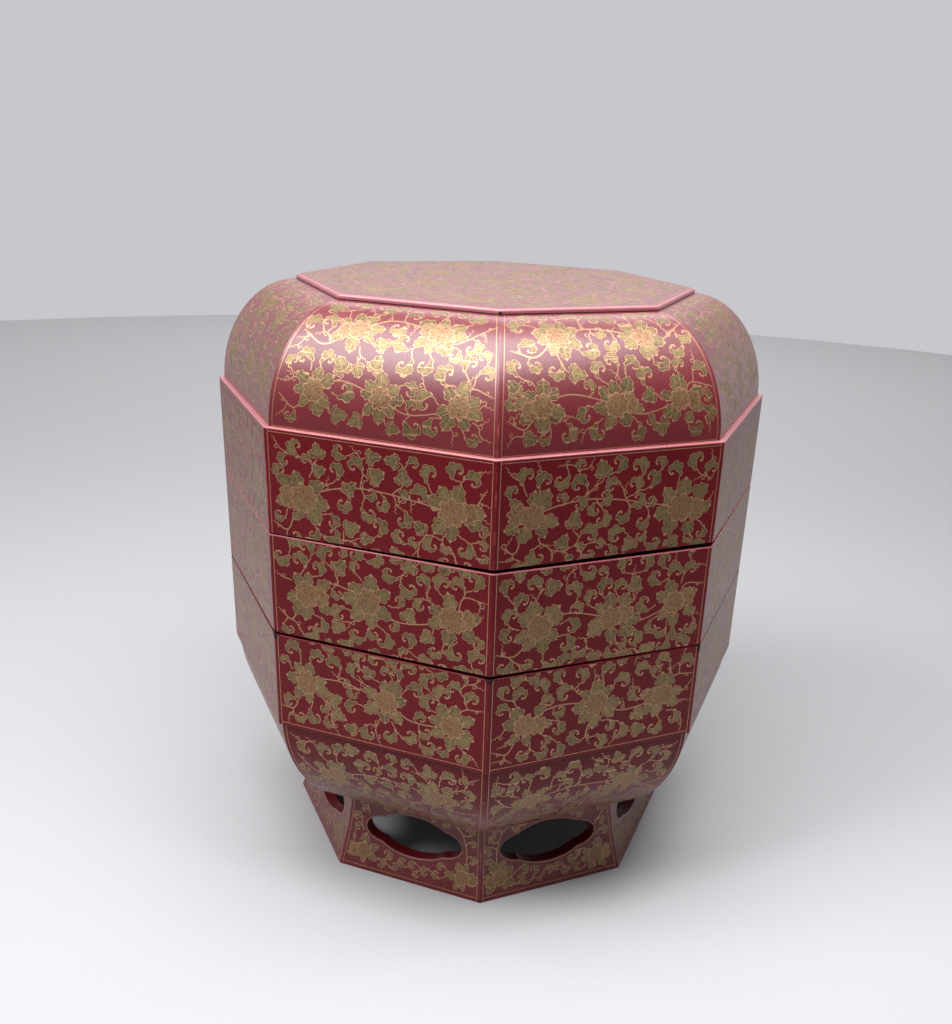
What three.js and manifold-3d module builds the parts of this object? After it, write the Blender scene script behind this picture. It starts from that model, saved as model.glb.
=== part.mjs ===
import * as THREE from "three";
import { mergeVertices } from "three/addons/utils/BufferGeometryUtils.js";
import Module from "manifold-3d";

const wasm = await Module();
wasm.setup();

// Tiered food box, in millimetres. It stands on the plane z = 0 with its axis on +Z.
// Every level of it is a regular octagon, given by its width across the flats, and
// four of the eight flats face along X and Y.
const SIDES = 8;

// Body: three upright walls, one over the other.
const BODY_ACROSS_FLATS = 385;
const BOTTOM_WALL_HEIGHT = 71;
const MIDDLE_WALL_HEIGHT = 73;
const LID_WALL_HEIGHT = 72;
const WALL = 7;
const EDGE_EASE = 0.8;

// Lid: a narrow ledge, a domed shoulder, and a thin flat plate on top of it.
const LEDGE_WIDTH = 3.6;
const DOME_RISE = 74;
const DOME_FULLNESS = 1.93;
const DOME_WALL = 8;
const PLATE_ACROSS_FLATS = 272;
const PLATE_RISE = 3.5;

// Bowl: the bottom tier narrows in a full curve from a small step down to the foot.
const BOWL_DEPTH = 84;
const BOWL_FULLNESS = 1.82;
const BOWL_STEP = 2.8;
const BOWL_WALL = 8;

// Joints: an upright lip inside each tier's rim locates the piece above.
const LIP_HEIGHT = 11;
const LIP_THICKNESS = 3.5;
const LIP_ROOT = 14;
const LIP_CLEARANCE = 0.7;
const FLOOR_CLEARANCE = 2;
const FLOOR_THICKNESS = 5;

// Foot: an open ring that flares outwards to the ground, with a window in each face.
const FOOT_HEIGHT = 63;
const FOOT_TOP_ACROSS_FLATS = 266;
const FOOT_BOTTOM_ACROSS_FLATS = 293.5;
const FOOT_FLARE = 1.5;
const FOOT_WALL = 9;
const FOOT_REVEAL = 1;

// Window: a long four-lobed opening. A long oval makes its two wide arcs, and a smaller
// oval that reaches past it makes each end. They meet in four cusps.
const WINDOW_LENGTH = 81;
const WINDOW_HEIGHT = 32;
const WINDOW_CENTRE_HEIGHT = 36.5;
const WINDOW_END_REACH = 8.5;
const WINDOW_END_LENGTH = 36;
const WINDOW_END_HEIGHT = 20;

// Facets along each curve.
const CURVE_STEPS = 14;
const FLARE_STEPS = 8;
const WINDOW_ARC_STEPS = 6;

// Levels, counted up from the ground.
const BOWL_TOP = FOOT_HEIGHT + BOWL_DEPTH;
const LOWER_SEAM = BOWL_TOP + BOTTOM_WALL_HEIGHT;
const UPPER_SEAM = LOWER_SEAM + MIDDLE_WALL_HEIGHT;
const LEDGE = UPPER_SEAM + LID_WALL_HEIGHT;
const PLATE_FOOT = LEDGE + DOME_RISE;

// Distances of the flats from the axis.
const BODY_FLAT = BODY_ACROSS_FLATS / 2;
const INNER_FLAT = BODY_FLAT - WALL;
const PLATE_FLAT = PLATE_ACROSS_FLATS / 2;
const FOOT_TOP_FLAT = FOOT_TOP_ACROSS_FLATS / 2;
const FOOT_BOTTOM_FLAT = FOOT_BOTTOM_ACROSS_FLATS / 2;

const lacquer = (name, color, roughness) =>
  new THREE.MeshStandardMaterial({ name, color, roughness, metalness: 0 });

// A quarter of a superellipse from (outer, low) to (inner, high), swelling outwards.
// The points are [distance of the flat from the axis, height].
function shoulder(outer, low, inner, high, fullness) {
  const points = [];
  for (let i = 0; i <= CURVE_STEPS; i += 1) {
    const angle = (i / CURVE_STEPS) * (Math.PI / 2);
    const across = Math.cos(angle) ** (2 / fullness);
    const up = Math.sin(angle) ** (2 / fullness);
    points.push([inner + (outer - inner) * across, low + (high - low) * up]);
  }
  return points;
}

// An octagonal solid from the outline of its section, which runs anticlockwise with the
// axis on its left. An open outline starts and ends on the axis.
function octagonal(section) {
  const cornerScale = 1 / Math.cos(Math.PI / SIDES);
  const points = section.map(([flat, z]) => new THREE.Vector2(flat * cornerScale, z));
  const geometry = new THREE.LatheGeometry(points, SIDES, Math.PI / SIDES);
  return geometry.rotateX(Math.PI / 2);
}

// The shoulder that the piece above rests on, and the lip that stands inside it.
function rimWithLip(seam) {
  const lipOuter = INNER_FLAT - LIP_CLEARANCE;
  const lipInner = lipOuter - LIP_THICKNESS;
  return [
    [BODY_FLAT, seam - EDGE_EASE],
    [BODY_FLAT - EDGE_EASE, seam],
    [lipOuter, seam],
    [lipOuter, seam + LIP_HEIGHT - EDGE_EASE],
    [lipOuter - EDGE_EASE, seam + LIP_HEIGHT],
    [lipInner, seam + LIP_HEIGHT],
    [lipInner, seam - LIP_ROOT],
    [INNER_FLAT, seam - LIP_ROOT - LIP_THICKNESS],
  ];
}

// The lower edge of a wall that rests on the rim below it.
function restingEdge(seam) {
  return [
    [INNER_FLAT, seam],
    [BODY_FLAT - EDGE_EASE, seam],
    [BODY_FLAT, seam + EDGE_EASE],
  ];
}

// Lid: upright wall, ledge, dome and plate in one, hollow from below.
function lidGeometry() {
  const domeFoot = BODY_FLAT - LEDGE_WIDTH;
  const ceiling = PLATE_FOOT + PLATE_RISE - DOME_WALL;
  const inside = shoulder(INNER_FLAT, LEDGE, PLATE_FLAT, ceiling, DOME_FULLNESS).reverse();
  const outside = shoulder(domeFoot, LEDGE, PLATE_FLAT, PLATE_FOOT, DOME_FULLNESS);
  const plateTop = PLATE_FOOT + PLATE_RISE;
  return octagonal([
    [0, ceiling],
    ...inside,
    ...restingEdge(UPPER_SEAM),
    [BODY_FLAT, LEDGE - EDGE_EASE],
    [BODY_FLAT - EDGE_EASE, LEDGE],
    ...outside,
    [PLATE_FLAT, plateTop - EDGE_EASE],
    [PLATE_FLAT - EDGE_EASE, plateTop],
    [0, plateTop],
  ]);
}

// Middle tier: a wall open at the top, with its floor set above the lip below.
function middleTierGeometry() {
  const floorUnderside = LOWER_SEAM + LIP_HEIGHT + FLOOR_CLEARANCE;
  const floorTop = floorUnderside + FLOOR_THICKNESS;
  return octagonal([
    [0, floorUnderside],
    [INNER_FLAT, floorUnderside],
    ...restingEdge(LOWER_SEAM),
    ...rimWithLip(UPPER_SEAM),
    [INNER_FLAT, floorTop],
    [0, floorTop],
  ]);
}

// Bottom tier: an upright wall over a bowl, hollow down to the floor over the foot.
function bottomTierGeometry() {
  const bowlOuter = BODY_FLAT - BOWL_STEP;
  const bowlFoot = FOOT_TOP_FLAT + FOOT_REVEAL;
  const floorTop = FOOT_HEIGHT + BOWL_WALL;
  const bowl = shoulder(bowlOuter, BOWL_TOP, bowlFoot, FOOT_HEIGHT, BOWL_FULLNESS).reverse();
  const inside = shoulder(INNER_FLAT, BOWL_TOP, bowlFoot, floorTop, BOWL_FULLNESS);
  return octagonal([
    [0, FOOT_HEIGHT],
    ...bowl,
    [BODY_FLAT - EDGE_EASE, BOWL_TOP],
    [BODY_FLAT, BOWL_TOP + EDGE_EASE],
    ...rimWithLip(LOWER_SEAM),
    ...inside,
    [0, floorTop],
  ]);
}

// How far the foot's face stands from the axis, at a share of the way down from its top.
function footFlat(share) {
  return FOOT_TOP_FLAT + (FOOT_BOTTOM_FLAT - FOOT_TOP_FLAT) * share ** FOOT_FLARE;
}

function footRingGeometry() {
  const outer = [];
  for (let i = FLARE_STEPS; i >= 0; i -= 1) {
    const share = i / FLARE_STEPS;
    outer.push([footFlat(share), FOOT_HEIGHT * (1 - share)]);
  }
  const inner = outer.map(([flat, z]) => [flat - FOOT_WALL, z]).reverse();
  return octagonal([...outer, ...inner, outer[0]]);
}

// The window's outline, centred, with its length along X, as four arcs between the cusps.
function windowShape() {
  const ovalX = WINDOW_LENGTH / 2 - WINDOW_END_REACH;
  const ovalY = WINDOW_HEIGHT / 2;
  const endX = WINDOW_END_LENGTH / 2;
  const endY = WINDOW_END_HEIGHT / 2;
  const endCentre = WINDOW_LENGTH / 2 - endX;

  // Where the two ovals are equally high: a quadratic in the distance from the middle.
  const square = (endY / endX) ** 2 - (ovalY / ovalX) ** 2;
  const linear = -2 * endCentre * (endY / endX) ** 2;
  const constant = ovalY ** 2 - endY ** 2 + (endCentre * endY / endX) ** 2;
  const root = Math.sqrt(linear ** 2 - 4 * square * constant);
  const cuspX = (-linear - root) / (2 * square);
  const cuspY = ovalY * Math.sqrt(1 - (cuspX / ovalX) ** 2);

  const side = Math.atan2(cuspY / ovalY, cuspX / ovalX);
  const end = Math.atan2(cuspY / endY, (cuspX - endCentre) / endX);
  const shape = new THREE.Shape();
  shape.absellipse(0, 0, ovalX, ovalY, side, Math.PI - side, false);
  shape.absellipse(-endCentre, 0, endX, endY, Math.PI - end, Math.PI + end, false);
  shape.absellipse(0, 0, ovalX, ovalY, Math.PI + side, 2 * Math.PI - side, false);
  shape.absellipse(endCentre, 0, endX, endY, -end, end, false);
  return shape;
}

// A closed bar of the window's section, long enough to pass through the face at -Y.
function windowBarGeometry() {
  const depth = FOOT_BOTTOM_FLAT - FOOT_TOP_FLAT + 3 * FOOT_WALL;
  const geometry = new THREE.ExtrudeGeometry(windowShape(), {
    depth,
    steps: 1,
    bevelEnabled: false,
    curveSegments: WINDOW_ARC_STEPS,
  });
  geometry.rotateX(Math.PI / 2);
  return geometry.translate(0, -(FOOT_TOP_FLAT - 2 * FOOT_WALL), WINDOW_CENTRE_HEIGHT);
}

function toSolid(geometry) {
  const bare = geometry.clone();
  bare.deleteAttribute("normal");
  bare.deleteAttribute("uv");
  const merged = mergeVertices(bare, 1e-4);
  return new wasm.Manifold(
    new wasm.Mesh({
      numProp: 3,
      vertProperties: merged.getAttribute("position").array,
      triVerts: new Uint32Array(merged.getIndex().array),
    }),
  );
}

function toGeometry(solid) {
  const mesh = solid.getMesh();
  const geometry = new THREE.BufferGeometry();
  geometry.setAttribute("position", new THREE.BufferAttribute(mesh.vertProperties, 3));
  geometry.setIndex(new THREE.BufferAttribute(mesh.triVerts, 1));
  geometry.computeVertexNormals();
  return geometry;
}

// Foot: the flared ring with one window cut through each of its faces.
function footGeometry() {
  let ring = toSolid(footRingGeometry());
  for (let i = 0; i < SIDES; i += 1) {
    const bar = windowBarGeometry().rotateZ((i * 2 * Math.PI) / SIDES);
    ring = ring.subtract(toSolid(bar));
  }
  return toGeometry(ring);
}

function piece(name, geometry, material) {
  const mesh = new THREE.Mesh(geometry, material);
  mesh.name = name;
  return mesh;
}

const foodBox = new THREE.Group();
foodBox.name = "tiered_food_box";
foodBox.add(
  piece("lid", lidGeometry(), lacquer("lid lacquer", 0x8c2128, 0.28)),
  piece("middle_tier", middleTierGeometry(), lacquer("middle tier lacquer", 0x84191f, 0.3)),
  piece("bottom_tier", bottomTierGeometry(), lacquer("bottom tier lacquer", 0x7d171d, 0.3)),
  piece("foot", footGeometry(), lacquer("foot lacquer", 0x74161c, 0.34)),
);

export default foodBox;
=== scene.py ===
# Tiered food box: an eight-sided stack of lacquered wood in vermilion, with a scroll of flowers
# incised and gilded over every outer face. Sizes are in millimetres, and the studio's in metres.
import math
import random
from bisect import bisect_right
from collections import namedtuple

import bpy
from mathutils import Matrix, Vector
from mathutils.geometry import delaunay_2d_cdt


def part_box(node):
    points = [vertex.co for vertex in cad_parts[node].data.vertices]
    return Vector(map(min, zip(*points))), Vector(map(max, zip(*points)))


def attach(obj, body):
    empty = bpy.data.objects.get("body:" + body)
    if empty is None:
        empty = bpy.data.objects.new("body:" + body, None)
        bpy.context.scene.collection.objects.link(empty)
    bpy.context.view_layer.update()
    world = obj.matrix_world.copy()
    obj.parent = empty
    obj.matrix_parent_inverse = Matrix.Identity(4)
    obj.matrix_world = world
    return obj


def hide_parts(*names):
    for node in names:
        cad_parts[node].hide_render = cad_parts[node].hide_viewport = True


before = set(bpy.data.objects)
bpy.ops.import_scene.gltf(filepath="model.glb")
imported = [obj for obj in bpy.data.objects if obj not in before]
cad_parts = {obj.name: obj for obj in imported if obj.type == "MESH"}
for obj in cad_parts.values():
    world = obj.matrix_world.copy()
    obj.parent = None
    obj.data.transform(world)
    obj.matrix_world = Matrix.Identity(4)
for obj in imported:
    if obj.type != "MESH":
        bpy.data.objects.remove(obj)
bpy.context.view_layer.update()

# The view
# The box is seen from close by, a little above its ledge and to the right of its front flat,
# with the camera held slightly askew.
MM = 0.001
VIEW_AZIMUTH = 20.35
VIEW_ELEVATION = 23.24
VIEW_TILT = 2.39
VIEW_DISTANCE = 807.5
VIEW_ASIDE = 8.5
VIEW_DROP = 163.3
VIEW_CENTRE_HEIGHT = 363.0
LENS = 39.86
SENSOR = 36.0
SHIFT = (-0.030, 0.0912)

turn = Matrix.Rotation(math.radians(VIEW_AZIMUTH), 4, "Z")
turn = turn @ Matrix.Rotation(math.radians(90 - VIEW_ELEVATION), 4, "X")
turn = turn @ Matrix.Rotation(math.radians(VIEW_TILT), 4, "Z")
camera = bpy.data.objects.new("camera", bpy.data.cameras.new("camera"))
bpy.context.collection.objects.link(camera)
camera.data.sensor_fit = "HORIZONTAL"
camera.data.sensor_width = SENSOR
camera.data.lens = LENS
camera.data.shift_x, camera.data.shift_y = SHIFT
camera.data.clip_start = 0.02
offset = Vector((VIEW_ASIDE, -VIEW_DROP, 0)) * MM
camera.matrix_world = turn
camera.location = (
    Vector((0, 0, VIEW_CENTRE_HEIGHT * MM))
    + (turn @ Vector((0, 0, VIEW_DISTANCE * MM))).to_3d()
    + (turn @ offset).to_3d()
)
bpy.context.scene.camera = camera
bpy.context.view_layer.update()


# The studio
# A plain pale floor and backdrop, three soft lamps, overhead, to the left and beyond the box, and a
# dim pale surround.
class Socket:
    """An output of a shader node. Arithmetic on it adds Math nodes."""

    def __init__(self, finish, output):
        self.finish = finish
        self.output = output

    def math(self, operation, *values):
        return self.finish.node("ShaderNodeMath", {"operation": operation}, dict(enumerate((self, *values))))

    def __add__(self, other):
        return self.math("ADD", other)

    __radd__ = __add__

    def __sub__(self, other):
        return self.math("SUBTRACT", other)

    def __rsub__(self, other):
        return self.finish.node("ShaderNodeMath", {"operation": "SUBTRACT"}, {0: other, 1: self})

    def __mul__(self, other):
        return self.math("MULTIPLY", other)

    __rmul__ = __mul__

    def __truediv__(self, other):
        return self.math("DIVIDE", other)

    def __abs__(self):
        return self.math("ABSOLUTE")


class Finish:
    """A material and the nodes that make it."""

    def __init__(self, name):
        self.material = bpy.data.materials.new(name)
        self.material.use_nodes = True
        self.tree = self.material.node_tree
        self.tree.nodes.clear()

    def node(self, kind, settings=None, inputs=None, output=0):
        """Adds one node: its settings first, then the values or links of its sockets."""
        made = self.tree.nodes.new(kind)
        for name, value in (settings or {}).items():
            setattr(made, name, value)
        for name, value in (inputs or {}).items():
            if isinstance(value, Socket):
                self.tree.links.new(value.output, made.inputs[name])
            else:
                made.inputs[name].default_value = value
        return Socket(self, made.outputs[output]) if made.outputs else None

    def place(self):
        """Where a point is on the object, in metres."""
        return self.node("ShaderNodeTexCoord", output="Object")

    def drawing(self):
        """Where a point is in its motif: along it, across it, and in from its outline, in millimetres."""
        stored = self.node("ShaderNodeAttribute", {"attribute_name": "drawing"}, output="Vector")
        split = self.node("ShaderNodeSeparateXYZ", inputs={0: stored})
        parts = split.output.node.outputs
        return tuple(Socket(self, parts[i]) for i in range(3))

    def height(self):
        """How high a point is on the object, in metres."""
        return self.node("ShaderNodeSeparateXYZ", inputs={0: self.place()}, output="Z")

    def stored(self, name):
        return self.node("ShaderNodeAttribute", {"attribute_name": name}, output="Fac")

    def noise(self, where, scale, detail=2.0, rough=0.5):
        settings = {"noise_dimensions": "3D"}
        inputs = {"Vector": where, "Scale": scale, "Detail": detail, "Roughness": rough}
        return self.node("ShaderNodeTexNoise", settings, inputs)

    def step(self, value, low, high):
        """0 below low, 1 above high, and smooth between. low may be the greater."""
        settings = {"interpolation_type": "SMOOTHSTEP", "clamp": True}
        flipped = low > high
        inputs = {0: value, 1: min(low, high), 2: max(low, high), 3: float(flipped), 4: float(not flipped)}
        return self.node("ShaderNodeMapRange", settings, inputs)

    def blend(self, share, a, b):
        """Colour a, turning to colour b as share goes from 0 to 1."""
        return self.node("ShaderNodeMix", {"data_type": "RGBA"}, {0: share, 6: a, 7: b}, output=2)

    def scale(self, colour, factor):
        if isinstance(colour, tuple):
            colour = colour[:3]
        return self.node("ShaderNodeVectorMath", {"operation": "SCALE"}, {0: colour, 3: factor})

    def bump(self, height, strength, depth):
        inputs = {"Height": height, "Strength": strength, "Distance": depth}
        return self.node("ShaderNodeBump", inputs=inputs)

    def surface(self, **inputs):
        """Ends the material in one surface shader."""
        named = {name.replace("_", " "): value for name, value in inputs.items()}
        shader = self.node("ShaderNodeBsdfPrincipled", inputs=named)
        self.node("ShaderNodeOutputMaterial", inputs={"Surface": shader})
        return self.material


def srgb(red, green, blue):
    """A colour for a shader from the 0 to 255 values that a screen shows."""
    levels = [value / 255 for value in (red, green, blue)]
    return (*[v / 12.92 if v < 0.04045 else ((v + 0.055) / 1.055) ** 2.4 for v in levels], 1.0)


FLOOR_RADIUS = 9.0
FLOOR_SIDES = 96
FLOOR_TONE = srgb(172, 171, 171)
SURROUND_TONE = srgb(205, 206, 210)
SURROUND_STRENGTH = 0.24
BACKDROP_TONE = srgb(200, 199, 203)
BACKDROP_RADIUS = 2.8
BACKDROP_HEIGHT = 2.6
BACKDROP_SPREAD = 160
BACKDROP_PARTS = 24
LAMP_TONE = (0.95, 0.96, 1.0)
# Each lamp's name, its place and what it points at, its size, all in metres, and its power in watts.
LAMPS = (
    ("overhead lamp", (0.11, -0.24, 1.02), (0.03, -0.05, 0.3), (1.0, 0.52), 20),
    ("left lamp", (-1.3, -1.4, 2.1), (0.0, 0.0, 0.3), (1.2, 1.0), 54),
    ("far lamp", (-0.8, 1.9, 1.9), (-0.8, 2.0, 0.0), (3.0, 1.4), 42),
)


def floor_material():
    finish = Finish("pale floor")
    grain = finish.noise(finish.place(), 260.0, 3.0)
    tone = finish.scale(FLOOR_TONE, grain * 0.06 + 0.97)
    return finish.surface(Base_Color=tone, Roughness=0.85)


rim = []
for i in range(FLOOR_SIDES):
    a = 2 * math.pi * i / FLOOR_SIDES
    rim.append((FLOOR_RADIUS * math.cos(a), FLOOR_RADIUS * math.sin(a), 0.0))
floor_mesh = bpy.data.meshes.new("floor")
floor_mesh.from_pydata(rim, [], [list(range(FLOOR_SIDES))])
floor_mesh.materials.append(floor_material())
floor = bpy.data.objects.new("floor", floor_mesh)
bpy.context.collection.objects.link(floor)


def backdrop_material():
    finish = Finish("pale backdrop")
    glow = finish.node("ShaderNodeEmission", inputs={"Color": BACKDROP_TONE, "Strength": 1.0})
    finish.node("ShaderNodeOutputMaterial", inputs={"Surface": glow})
    return finish.material


sheet = []
for i in range(BACKDROP_PARTS + 1):
    a = math.radians(90 + VIEW_AZIMUTH + BACKDROP_SPREAD * (i / BACKDROP_PARTS - 0.5))
    for z in (0.0, BACKDROP_HEIGHT):
        sheet.append((BACKDROP_RADIUS * math.cos(a), BACKDROP_RADIUS * math.sin(a), z))
backdrop_mesh = bpy.data.meshes.new("backdrop")
strips = [(2 * i, 2 * i + 1, 2 * i + 3, 2 * i + 2) for i in range(BACKDROP_PARTS)]
backdrop_mesh.from_pydata(sheet, [], strips)
backdrop_mesh.materials.append(backdrop_material())
backdrop = bpy.data.objects.new("backdrop", backdrop_mesh)
bpy.context.collection.objects.link(backdrop)

surround = bpy.data.worlds.new("surround")
bpy.context.scene.world = surround
bpy.context.scene.view_settings.view_transform = "Standard"
surround.use_nodes = True
sky = surround.node_tree.nodes["Background"]
sky.inputs["Color"].default_value = SURROUND_TONE
sky.inputs["Strength"].default_value = SURROUND_STRENGTH

for name, spot, target, size, power in LAMPS:
    lamp = bpy.data.lights.new(name, "AREA")
    lamp.shape = "RECTANGLE"
    lamp.size, lamp.size_y = size
    lamp.energy = power
    lamp.color = LAMP_TONE
    holder = bpy.data.objects.new(name, lamp)
    holder.location = spot
    aim = Vector(target) - Vector(spot)
    holder.rotation_euler = aim.to_track_quat("-Z", "Y").to_euler()
    holder.visible_camera = False
    bpy.context.collection.objects.link(holder)


# The lid
# One turned-out shell of lacquered wood: an upright wall, a narrow ledge, a full domed shoulder in eight
# flats and a thin flat plate on the crown. It lifts off, and its rim rests on the middle tier's.
SIDES = 8
HALF_TURN = math.pi / SIDES
LEAN = math.tan(HALF_TURN)
FIRST_FLAT = -math.pi / 2
BODY_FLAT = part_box("lid")[1].x / MM
UPPER_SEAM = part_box("lid")[0].z / MM
LID_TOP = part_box("lid")[1].z / MM
BOWL_TOP = 147.0
WALL = 7.0
INNER_FLAT = BODY_FLAT - WALL
EDGE_EASE = 0.8
CORNER_ROUNDING = 1.3
CORNER_STEPS = 3
LEDGE = 363.0
LEDGE_WIDTH = 3.6
DOME_FULLNESS = 1.93
DOME_STEPS = 16
DOME_WALL = 8.0
PLATE_FLAT = 136.0
PLATE_RISE = 3.5
PLATE_EASE = 1.8
PLATE_FOOT = LID_TOP - PLATE_RISE
PLATE_LINE_INSET = 3.0
# The height of the black strip of painted shadow at the plate's foot.
PLATE_SHADOW_LINE = 0.7

FRAME_INSET = 2.3
FRAME_LINE = 0.5
LEAF_SIZES = (4.5, 6.9)
LEAF_GAP = 0.25
HEAD_SIZE = 18.0


class Section:
    """A piece's outline through the middle of a flat, in travel order, with its outside on the right.

    Each run is (finish, [(distance from the axis, height, lean of the normal above the level)]).
    """

    def __init__(self, runs, rounding=0.0, rounded_end=False):
        self.reach = [0.0]
        self.rows = [runs[0][1][0][:2]]
        self.strips = []
        self.starts = []
        for finish, points in runs:
            self.starts.append(self.reach[-1])
            for (flat0, z0, lean0), (flat1, z1, lean1) in zip(points, points[1:]):
                self.reach.append(self.reach[-1] + math.hypot(flat1 - flat0, z1 - z0))
                self.rows.append((flat1, z1))
                self.strips.append((finish, lean0, lean1))
        self.starts.append(self.reach[-1])
        self.rounding = [rounding] * len(self.rows)
        self.rounding[0] = 0.0
        if not rounded_end:
            self.rounding[-1] = 0.0

    def strip_at(self, along):
        return min(max(bisect_right(self.reach, along) - 1, 0), len(self.strips) - 1)

    def at(self, strip, along):
        """The distance from the axis, the height and the normal's lean, on one strip."""
        run = self.reach[strip + 1] - self.reach[strip]
        share = min(max((along - self.reach[strip]) / run, 0.0), 1.0)
        (flat0, z0), (flat1, z1) = self.rows[strip], self.rows[strip + 1]
        lean0, lean1 = self.strips[strip][1:]
        return flat0 + (flat1 - flat0) * share, z0 + (z1 - z0) * share, lean0 + (lean1 - lean0) * share

    def half_width(self, along):
        """Half the width of the flat, out to its true corner."""
        return self.at(self.strip_at(along), along)[0] * LEAN

    def half_laid(self, strip, along):
        """Half the width of what is flat, out to where the corner starts to turn."""
        share = (along - self.reach[strip]) / (self.reach[strip + 1] - self.reach[strip])
        r = self.rounding[strip] + (self.rounding[strip + 1] - self.rounding[strip]) * share
        return (self.at(strip, along)[0] - r) * LEAN


def straight(*points):
    """A flat run between two points, with the normal square to it."""
    (flat0, z0), (flat1, z1) = points
    lean = math.atan2(-(flat1 - flat0), z1 - z0)
    return [(flat0, z0, lean), (flat1, z1, lean)]


def eased(flat, z, radius, start, end, steps=3):
    """A rounded edge about the centre (flat, z), its normal turning from start to end, in degrees."""
    points = []
    for i in range(steps + 1):
        lean = math.radians(start + (end - start) * i / steps)
        points.append((flat + radius * math.cos(lean), z + radius * math.sin(lean), lean))
    return points


def shoulder(outer, low, inner, high, fullness, steps):
    """A quarter of a superellipse from (outer, low) to (inner, high)."""
    points = []
    for i in range(steps + 1):
        angle = i / steps * math.pi / 2
        across = max(math.cos(angle), 0.0) ** (2 / fullness)
        up = math.sin(angle) ** (2 / fullness)
        steepness = 2 - 2 / fullness
        rising = math.sin(angle) ** steepness / (high - low)
        lean = math.atan2(rising, max(math.cos(angle), 0.0) ** steepness / (outer - inner))
        points.append((inner + (outer - inner) * across, low + (high - low) * up, lean))
    return points


def spot_on(side, flat, across, height):
    """A point of one flat, in metres. Side 0 faces along -Y, and the sides run on anticlockwise."""
    angle = FIRST_FLAT + side * 2 * HALF_TURN
    c, s = math.cos(angle), math.sin(angle)
    return ((flat * c - across * s) * MM, (flat * s + across * c) * MM, height * MM)


def normal_on(angle, lean):
    return (math.cos(lean) * math.cos(angle), math.cos(lean) * math.sin(angle), math.sin(lean))


class Shell:
    """The skin of a piece, gathered face by face. Corners that meet share a vertex."""

    GRID = 0.01 * MM

    def __init__(self):
        self.index = {}
        self.points = []
        self.faces = []
        self.finishes = []
        self.tones = []
        self.normals = []
        self.drawing = []

    def vertex(self, point):
        """The number of the vertex here, which a near one already has."""
        x, y, z = (round(value / self.GRID) for value in point)
        found = self.index.get((x, y, z))
        if found is not None:
            return found
        for dx in (-1, 0, 1):
            for dy in (-1, 0, 1):
                for dz in (-1, 0, 1):
                    found = self.index.get((x + dx, y + dy, z + dz))
                    if found is not None:
                        return found
        self.index[(x, y, z)] = len(self.points)
        self.points.append(point)
        return len(self.points) - 1

    def face(self, points, normals, finish, tone=0.5, drawing=None):
        corners = []
        for i, point in enumerate(points):
            number = self.vertex(point)
            if number not in [c[0] for c in corners]:
                corners.append((number, normals[i], drawing[i] if drawing else (0.0, 0.0, 0.0)))
        if len(corners) < 3:
            return
        self.faces.append([c[0] for c in corners])
        self.normals += [c[1] for c in corners]
        self.drawing += [c[2] for c in corners]
        self.finishes.append(finish)
        self.tones.append(tone)

    def take(self, mesh, finish):
        """Adds a plain mesh, faceted as it is."""
        for polygon in mesh.polygons:
            points = [tuple(mesh.vertices[i].co) for i in polygon.vertices]
            self.face(points, [tuple(polygon.normal)] * len(points), finish)

    def piece(self, name, finishes):
        """Makes the object, with one material slot for each finish in use."""
        names = [n for n in finishes if n in set(self.finishes)]
        mesh = bpy.data.meshes.new(name)
        mesh.from_pydata(self.points, [], self.faces)
        for n in names:
            mesh.materials.append(finishes[n])
        slots = {n: i for i, n in enumerate(names)}
        mesh.polygons.foreach_set("material_index", [slots[f] for f in self.finishes])
        mesh.polygons.foreach_set("use_smooth", [True] * len(self.faces))
        tone = mesh.attributes.new("tone", "FLOAT", "FACE")
        tone.data.foreach_set("value", self.tones)
        drawing = mesh.attributes.new("drawing", "FLOAT_VECTOR", "CORNER")
        drawing.data.foreach_set("vector", [value for corner in self.drawing for value in corner])
        mesh.normals_split_custom_set(self.normals)
        made = bpy.data.objects.new(name, mesh)
        bpy.context.collection.objects.link(made)
        return made


# A closed outline to be gilded: what it is, its points, spots well inside it, and its own place and angle.
Motif = namedtuple("Motif", "kind points hearts place angle tone")


def signed_area(points):
    return sum(a[0] * b[1] - b[0] * a[1] for a, b in zip(points, points[1:] + points[:1])) / 2


def motif(kind, points, hearts=(), place=(0.0, 0.0), angle=0.0, tone=0.5):
    """A motif with its outline anticlockwise."""
    if signed_area(points) < 0:
        points = points[::-1]
    return Motif(kind, points, list(hearts), place, angle, tone)


def turned(points, angle, scale, place, mirrored=False, stretch=1.0):
    """Points of a motif, mirrored about its axis if asked, scaled, turned and placed."""
    c, s = math.cos(angle) * scale, math.sin(angle) * scale
    m = -stretch if mirrored else stretch
    return [(place[0] + c * x - s * y * m, place[1] + s * x + c * y * m) for x, y in points]


def through(points, steps):
    """A smooth open line through the points."""
    out = []
    last = len(points) - 1
    for i in range(last):
        p = [points[min(max(i + k, 0), last)] for k in (-1, 0, 1, 2)]
        for j in range(steps):
            t = j / steps
            w = (-t + 2 * t * t - t**3, 2 - 5 * t * t + 3 * t**3, t + 4 * t * t - 3 * t**3, t**3 - t * t)
            out.append(tuple(sum(a * q[k] for a, q in zip(w, p)) / 2 for k in (0, 1)))
    return out + [points[-1]]


def ribbon(line, start, end, ball=0.0):
    """The outline of a stroke that tapers from one width to the other, with a round end if asked."""
    last = len(line) - 1
    left, right = [], []
    for i, (x, y) in enumerate(line):
        x0, y0 = line[max(i - 1, 0)]
        x1, y1 = line[min(i + 1, last)]
        run = math.hypot(x1 - x0, y1 - y0) or 1.0
        half = (start + (end - start) * i / last) / 2
        if ball and i == last:
            half = ball
        nx, ny = -(y1 - y0) / run * half, (x1 - x0) / run * half
        left.append((x + nx, y + ny))
        right.append((x - nx, y - ny))
    return right + left[::-1]


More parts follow.
